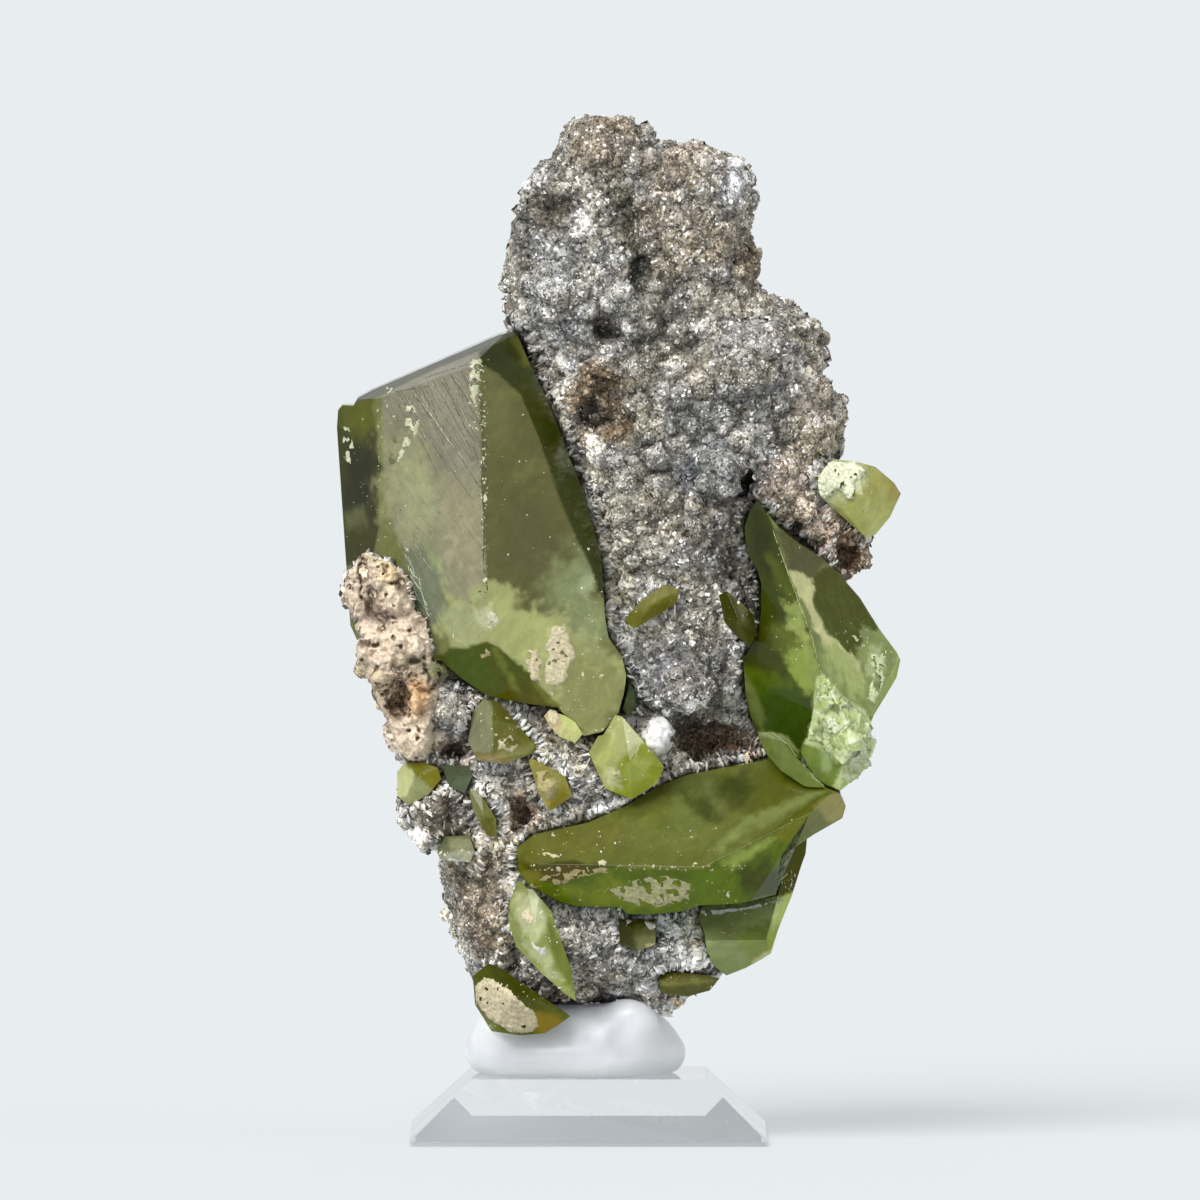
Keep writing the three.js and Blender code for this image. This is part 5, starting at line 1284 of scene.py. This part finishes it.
# growth steps, scratches and painted edge highlights: colour, width in millimetres, path in pixels
LINES = [
    ((66, 66, 40), 0.14, [(481, 392), (482, 420), (484, 450), (482, 480), (485, 520), (484, 560),
        (488, 590)]),
    ((84, 80, 62), 0.1, [(415, 395), (430, 415), (445, 437), (463, 460), (477, 482), (483, 490)]),
    ((84, 80, 62), 0.08, [(445, 381), (453, 400), (462, 418), (467, 430), (472, 442), (480, 462)]),
    ((92, 88, 68), 0.08, [(400, 400), (418, 420), (436, 448), (455, 474), (474, 500)]),
    ((186, 180, 158), 0.05, [(416, 394), (431, 414), (446, 436), (464, 459)]),
    ((84, 80, 60), 0.08, [(396, 392), (430, 386), (426, 378), (450, 370), (470, 364)]),
    # bright lines along the right crystal's ridge and the blade's top edge: painted highlights
    ((158, 168, 112), 0.1, [(772, 530), (786, 570), (797, 600), (812, 640), (822, 680)]),
    ((180, 190, 136), 0.1, [(758, 733), (772, 732), (788, 744), (798, 758), (812, 776), (828, 789)]),
    ((150, 160, 100), 0.08, [(640, 740), (634, 760), (634, 800)]),
    ((186, 190, 150), 0.1, [(455, 629), (453, 640)]),
]
STRIPED_FACE = [(384, 392), (452, 362), (481, 350), (482, 420), (483, 500), (486, 600), (440, 600),
    (400, 560)]
STRIPED_CORNER = [(396, 540), (428, 540), (446, 590), (446, 650), (412, 650)]
# rows of like lines: colour, width, first and last start, run, count, outline that ends them
LINE_FAMILIES = [
    ((92, 86, 66), 0.11, (392, 394), (478, 362), (64, 112), 18, STRIPED_FACE),
    ((112, 106, 84), 0.07, (388, 400), (470, 372), (50, 92), 14, STRIPED_FACE),
    ((160, 153, 132), 0.045, (396, 394), (478, 366), (40, 70), 12, STRIPED_FACE),
    ((170, 178, 154), 0.08, (404, 542), (414, 622), (30, 58), 12, STRIPED_CORNER),
    ((84, 90, 72), 0.07, (406, 546), (416, 626), (30, 58), 10, STRIPED_CORNER),
    ((132, 130, 100), 0.06, (390, 450), (400, 540), (56, 92), 9, STRIPED_FACE),
]
CREAM_OUTLINE = [(340, 552), (378, 547), (411, 552), (414, 596), (436, 608), (452, 632), (455, 668),
    (444, 690), (434, 716), (437, 742), (430, 762), (412, 768), (396, 750), (382, 722), (372, 690),
    (356, 664), (344, 620)]
BROKEN_END = [(818, 676), (828, 678), (838, 692), (850, 700), (862, 710), (870, 722), (874, 742), (868, 764),
    (852, 790), (838, 794), (842, 764), (832, 756), (818, 742), (806, 740), (811, 714)]


def patch(outline, step, tree, shape, stretch):
    """A fine grid on the surface seen inside an outline, left open where its depth changes by more than the
    stretch. The shape gives each spot's life, rise and colour."""
    (left, top), (right, bottom) = np.min(outline, axis=0), np.max(outline, axis=0)
    xs, ys = np.arange(left, right + step, step), np.arange(top, bottom + step, step)
    px, py = (g.ravel() for g in np.meshgrid(xs, ys))
    depth = depth_inside(outline, px, py) * PIXEL
    spots, normals = np.zeros((2, len(px), 3))
    seen = depth > 0
    for n in np.flatnonzero(seen):
        hit = pick(tree, px[n], py[n])
        if hit is None:
            seen[n] = False
        else:
            spots[n], normals[n] = hit
    alive, rise, tint = shape(spots, normals, depth)
    alive &= seen
    points = (spots + normals * rise[:, None])[alive]
    grid = np.where(alive, np.cumsum(alive) - 1, -1).reshape(len(ys), len(xs))
    corner = np.stack([grid[:-1, :-1], grid[1:, :-1], grid[1:, 1:], grid[:-1, 1:]], axis=-1).reshape(-1, 4)
    corner = corner[(corner >= 0).all(axis=1)]
    return points, corner[np.ptp(points[corner][:, :, 1], axis=1) < stretch], tint[alive]


def joined(name, parts):
    """One mesh of several (points, quads, tints)."""
    starts = np.cumsum([0] + [len(points) for points, _, _ in parts])
    points, quads, tints = zip(*parts)
    quads = [corner + start for corner, start in zip(quads, starts)]
    return mesh_of(name, np.concatenate(points), [np.concatenate(quads)], np.concatenate(tints))


def crust_shape(tone, lace, height):
    """A thin deposit, eaten away by noise, greener and lower towards its edge."""
    def shape(spots, normals, depth):
        edge = depth - 0.45 * rough_noise(spots, 0.5, 3)
        alive = (edge > 0) & (rough_noise(spots, 0.6, 9) > lace)
        rise = height * smooth(edge, 0.0, 0.35) * (0.4 + 1.2 * rough_noise(spots, 0.25, 15)) + LIFT
        tint = np.array(rgb(*tone)) * (0.6 + 0.65 * rough_noise(spots, 0.3, 35))[:, None]
        share = 0.45 * smooth(edge + 0.25 * rough_noise(spots, 0.3, 25), 0.4, 0.1)
        return alive, rise, blend(tint, rgb(136, 140, 92), share)
    return shape


def ridges(points, width, salt):
    """Sharp-edged lumps from 0 to 1: noise folded at its middle."""
    return 1 - np.clip(np.abs(rough_noise(points, width, salt) - 0.5) * 5, 0, 1)


# lumps and holes of the cream crust: centre and reach in pixels, height in millimetres
CREAM_FORMS = [
    ((352, 588), (11, 34), 0.9),
    ((388, 568), (18, 18), 0.9),
    ((394, 600), (16, 16), 0.7),
    ((370, 636), (18, 18), 0.8),
    ((402, 640), (22, 18), 1.1),
    ((428, 664), (18, 12), 0.7),
    ((378, 684), (10, 24), 0.8),
    ((414, 698), (9, 22), 1.1),
    ((413, 736), (22, 24), 1.3),
    ((364, 571), (7, 11), -1.6),
    ((372, 604), (6, 22), -1.0),
    ((404, 582), (6, 12), -0.9),
    ((384, 616), (10, 6), -1.0),
    ((396, 666), (7, 9), -1.0),
    ((397, 696), (9, 24), -1.9),
    ((414, 660), (10, 5), -0.7),
    ((424, 716), (6, 10), -0.5),
]
# tints of the cream crust: centre and reach in pixels, colour, share
CREAM_TINTS = [
    ((390, 556), (26, 9), (176, 172, 118), 0.6),
    ((392, 574), (14, 12), (206, 180, 132), 0.6),
    ((404, 584), (7, 12), (122, 98, 70), 0.6),
    ((372, 606), (12, 20), (124, 106, 88), 0.6),
    ((382, 616), (18, 8), (118, 104, 96), 0.6),
    ((440, 672), (16, 10), (172, 174, 112), 0.8),
    ((412, 660), (14, 8), (128, 124, 90), 0.6),
    ((418, 696), (14, 22), (206, 160, 106), 0.7),
    ((378, 680), (12, 18), (186, 170, 132), 0.5),
    ((397, 696), (9, 24), (104, 74, 46), 0.95),
    ((364, 571), (7, 11), (70, 56, 46), 0.9),
]


def cream_shape(spots, normals, depth):
    """Lumps of cream crust, paler on their tops and brown in the hollows."""
    normals[:] = (0, -1, 0)
    px, py = (p + 10.0 * (rough_noise(spots, 1.3, n) - 0.5) for p, n in zip(seen_at(spots), (591, 601)))
    form = sum(height * (1 - smooth(from_centre(px, py, centre, reach), 0.1, 1.25))
               for centre, reach, height in CREAM_FORMS)
    crumb = 0.6 * ridges(spots, 1.5, 501) + 0.4 * ridges(spots, 0.6, 511) - 0.5
    pock = smooth(rough_noise(spots, 0.7, 521), 0.4, 0.26)
    edge = smooth(depth - 0.9 * rough_noise(spots, 1.2, 541) + 0.25, 0.0, 0.5)
    fine = rough_noise(spots, 0.3, 531) - 0.5
    rise = edge * (0.75 + 0.8 * form + 0.7 * crumb - 0.7 * pock + 0.25 * fine) - 0.12
    tint = np.tile(rgb(208, 190, 167), (len(spots), 1))
    for centre, reach, colour, share in CREAM_TINTS:
        tint = blend(tint, rgb(*colour), share * (1 - smooth(from_centre(px, py, centre, reach), 0.5, 1.3)))
    pale = 0.35 * smooth(form + crumb, -0.6, 0.9) + 0.35 * rough_noise(spots, 0.28, 571)
    tint = tint * (0.62 + pale)[:, None]
    low = np.maximum(0.8 * pock, 0.7 * smooth(form + 0.8 * crumb, -0.15, -0.6))
    return edge > 0.02, rise, blend(tint, rgb(104, 82, 60), low)


def shards(points, width, salt):
    """Flat slanting pieces: their height from 0 to about 1, a number of their own, how near an edge is."""
    near, second, own, way = cells(points, width, salt)
    turn = own * 97.0
    slope = way[:, 0] * np.cos(turn) + way[:, 2] * np.sin(turn)
    return own + 0.9 * slope, own, smooth(second - near, 0.12, 0.0)


def broken_shape(spots, normals, depth):
    """The rough end of a crystal: pale lime shards with whitish veins."""
    large, own, rim = shards(spots, 1.7, 601)
    fine, own_fine, rim_fine = shards(spots * (1.0, 1.0, 0.7), 0.6, 611)
    rise = smooth(depth, 0.0, 0.4) * (0.5 * large + 0.22 * fine) + 0.015
    shade = np.clip(0.55 * own + 0.45 * own_fine + 0.3 * (rough_noise(spots, 0.5, 621) - 0.5), 0, 1)
    vein = np.maximum(rim * 0.5, smooth(rough_noise(spots, 1.3, 631), 0.56, 0.66) * 0.7)
    dark = rim_fine * smooth(rough_noise(spots, 1.8, 641), 0.5, 0.4) * 0.6
    tint = blend(np.array(rgb(160, 182, 96)), rgb(222, 230, 178), shade)
    tint = blend(blend(tint, rgb(236, 238, 214), vein), rgb(84, 96, 44), dark)
    return np.ones(len(spots), bool), rise, tint


def line_mesh(name):
    """Narrow ribbons along growth steps, scratches and painted edge highlights on the crystals' front faces.
    """
    rng = np.random.default_rng(LINE_SEED)
    points, quads, tints = [], [], []
    paths = [(tone, width, path, None) for tone, width, path in LINES]
    for tone, width, first, last, run, count, limit in LINE_FAMILIES:
        for share in np.linspace(0, 1, count):
            start = np.array(first) * (1 - share) + np.array(last) * share + rng.normal(size=2) * LINE_STRAY
            end = start + np.array(run) * rng.uniform(0.3, 1.0)
            bends = [start * (1 - t) + end * t + rng.normal(size=2) * BEND_STRAY
                     for t in np.linspace(0, 1, LINE_BENDS)]
            paths.append((tone, width, bends, limit))
    for tone, width, path, limit in paths:
        shade = rng.uniform(0.8, 1.15)
        last = None
        for (ax, ay), (bx, by) in zip(path, path[1:]):
            run = math.hypot(bx - ax, by - ay)
            side = np.array((-(by - ay), 0.0, -(bx - ax))) / run
            for t in np.arange(0, 1, LINE_STEP / run):
                px, py = ax + t * (bx - ax) + rng.normal() * 0.25, ay + t * (by - ay)
                hit = pick(crystal_tree, px, py)
                outside = limit and depth_inside(limit, np.array([px]), np.array([py]))[0] < 0
                if hit is None or outside or rng.random() < LINE_GAPS:
                    last = None
                    continue
                spot, normal = hit
                half = side * width * rng.uniform(0.15, 0.6)
                points += [spot - half + normal * LIFT, spot + half + normal * LIFT]
                tints += [np.array(rgb(*tone)) * shade * rng.uniform(0.8, 1.2)] * 2
                here = len(points) - 2
                if last is not None and abs(points[last][1] - points[here][1]) < LINE_STRETCH:
                    quads.append([last, last + 1, here + 1, here])
                last = here
    return mesh_of(name, points, [quads], tints)


def fleck_mesh(name):
    """Small irregular chips that lie on the crystals' front faces."""
    rng = np.random.default_rng(FLECK_SEED)
    points, faces, tints = [], [], []
    for centre, reach, count, size, tone in FLECKS:
        for _ in range(count):
            hit = pick(crystal_tree, *(np.array(centre) + rng.uniform(-1, 1, 2) * reach))
            if hit is None:
                continue
            spot, normal = hit
            side = np.cross(normal, rng.normal(size=3))
            side /= np.linalg.norm(side)
            across = np.cross(normal, side)
            start = len(points)
            radius = size * math.exp(rng.normal() * 0.45)
            points.append(spot + normal * (0.03 + 0.2 * radius))
            for k in range(FLECK_SIDES):
                turn = k * 2 * math.pi / FLECK_SIDES
                way = side * math.cos(turn) + across * math.sin(turn) * 0.6
                points.append(spot + way * (radius * rng.uniform(0.35, 1.1)) + normal * 0.01)
                faces.append([start, start + 1 + k, start + 1 + (k + 1) % FLECK_SIDES])
            tints += [np.array(rgb(*tone)) * rng.uniform(0.75, 1.05)] * (FLECK_SIDES + 1)
    return mesh_of(name, points, [faces], tints)


def add_crusts():
    crust = grainy_look("mineral_crust", (0.25, 4.0, 0.65, 0.7, 1.2), (0.12, 3.0, 0.6), {"Roughness": 0.6},
                        (0.6, 0.08))
    shard = grainy_look("titanite_shards", (0.4, 3.0, 0.6, 0.85, 1.15), (0.3, 3.0, 0.6), {
        "Roughness": 0.2, "IOR": 1.55, "Transmission_Weight": 0.25, "Specular_IOR_Level": 0.4}, (0.3, 0.08))
    parts = [patch(outline, CRUST_STEP, crystal_tree, crust_shape(tone, lace, height), CRUST_STRETCH)
             for tone, lace, height, outline in CRUSTS]
    lumps = patch(CREAM_OUTLINE, CREAM_STEP, tree_of([rock]), cream_shape, CREAM_STRETCH)
    end = patch(BROKEN_END, CRUST_STEP, crystal_tree, broken_shape, BROKEN_STRETCH)
    put("crystal_crusts", joined("crystal_crusts", parts), crust)
    put("crystal_flecks", fleck_mesh("crystal_flecks"), crust)
    put("crystal_lines", line_mesh("crystal_lines"), crust)
    put("cream_crust", joined("cream_crust", [lumps]), crust)
    put("broken_end", joined("broken_end", [end]), shard)


add_crusts()

# Tack, base and quartz grain

TACK_VOXEL = 0.5
# how often the tack is smoothed above these heights in millimetres
TACK_SMOOTHING = [(6.2, 8), (8.5, 30)]
# how much painted light lifts the tack where the specimen shades it, and how far from the crystals that
# reaches in millimetres
TACK_SHADE, TACK_SHADE_REACH = 0.6, 6.0
TACK_PALE, TACK_LIT = (234, 236, 241), (166, 168, 174)
QUARTZ_VOXEL = 0.16


def tack_mesh():
    """The tack, smoothed, with the key light taken out and painted light where the specimen shades it."""
    mesh = remeshed(frame["nodes"]["mineral_tack"].data.copy(), TACK_VOXEL)
    work = bmesh.new()
    work.from_mesh(mesh)
    for low, rounds in TACK_SMOOTHING:
        soft = [v for v in work.verts if v.co.z > low * MM]
        for _ in range(rounds):
            bmesh.ops.smooth_vert(work, verts=soft, factor=0.5, use_axis_x=True, use_axis_y=True,
                                  use_axis_z=True)
    work.to_mesh(mesh)
    work.free()
    mesh.shade_smooth()
    points, normals = points_of(mesh)
    # painted light: the tack paler under and beside the crystals, where they shade it
    shaded = TACK_SHADE * smooth(clear_of_crystals(points, TACK_SHADE_REACH), 0.9, 0.2)
    lit = smooth(-normals @ np.array(KEY), 0.1, 0.95) * (1 - shaded)
    set_tints(mesh, blend(np.array(rgb(*TACK_PALE)), rgb(*TACK_LIT), lit))
    return mesh


def tack_look():
    look = Look("tack_putty", Roughness=0.36, Subsurface_Weight=1.0, Subsurface_Radius=(1.0, 1.0, 1.0),
                Subsurface_Scale=0.012)
    cloud = look.span(look.noise(3.0), 0.3, 0.7, (0.0, 0.25))
    return look.done(Base_Color=look.mix(cloud, look.tint(), rgb(232, 235, 238)),
                     Normal=look.bump(look.noise(2.6, 2.0), 0.3, 0.5))


def clear_look():
    look = Look("acrylic_clear", Base_Color=rgb(243, 246, 247), IOR=1.49, Transmission_Weight=1.0)
    return look.done(Roughness=look.span(look.noise(1.2, 5.0, 0.7), 0.5, 0.8, (0.0, 0.08)))


def quartz_look():
    look = Look("quartz_white", Roughness=0.35)
    cloud = look.span(look.noise(0.7, 4.0), 0.35, 0.7)
    return look.done(Base_Color=look.mix(cloud, rgb(196, 194, 192), rgb(238, 237, 236)),
                     Normal=look.bump(look.noise(0.35, 3.0, 0.6), 0.7, 0.2))


def quartz_mesh():
    """The grain as a rough lump that fills its socket."""
    mesh = remeshed(frame["nodes"]["quartz_grain"].data.copy(), QUARTZ_VOXEL)
    points, normals = points_of(mesh)
    lumps = ridges(points, 1.3, 701) - 0.3
    rise = 0.15 + 0.55 * lumps + 0.3 * (rough_noise(points, 0.4, 711) - 0.5)
    set_points(mesh, points + normals * rise[:, None])
    mesh.update()
    return mesh


put("mineral_tack_soft", tack_mesh(), tack_look(), ["mineral_tack"])
frame["nodes"]["acrylic_base"].data.materials[0] = clear_look()
put("quartz_lump", quartz_mesh(), quartz_look(), ["quartz_grain"])
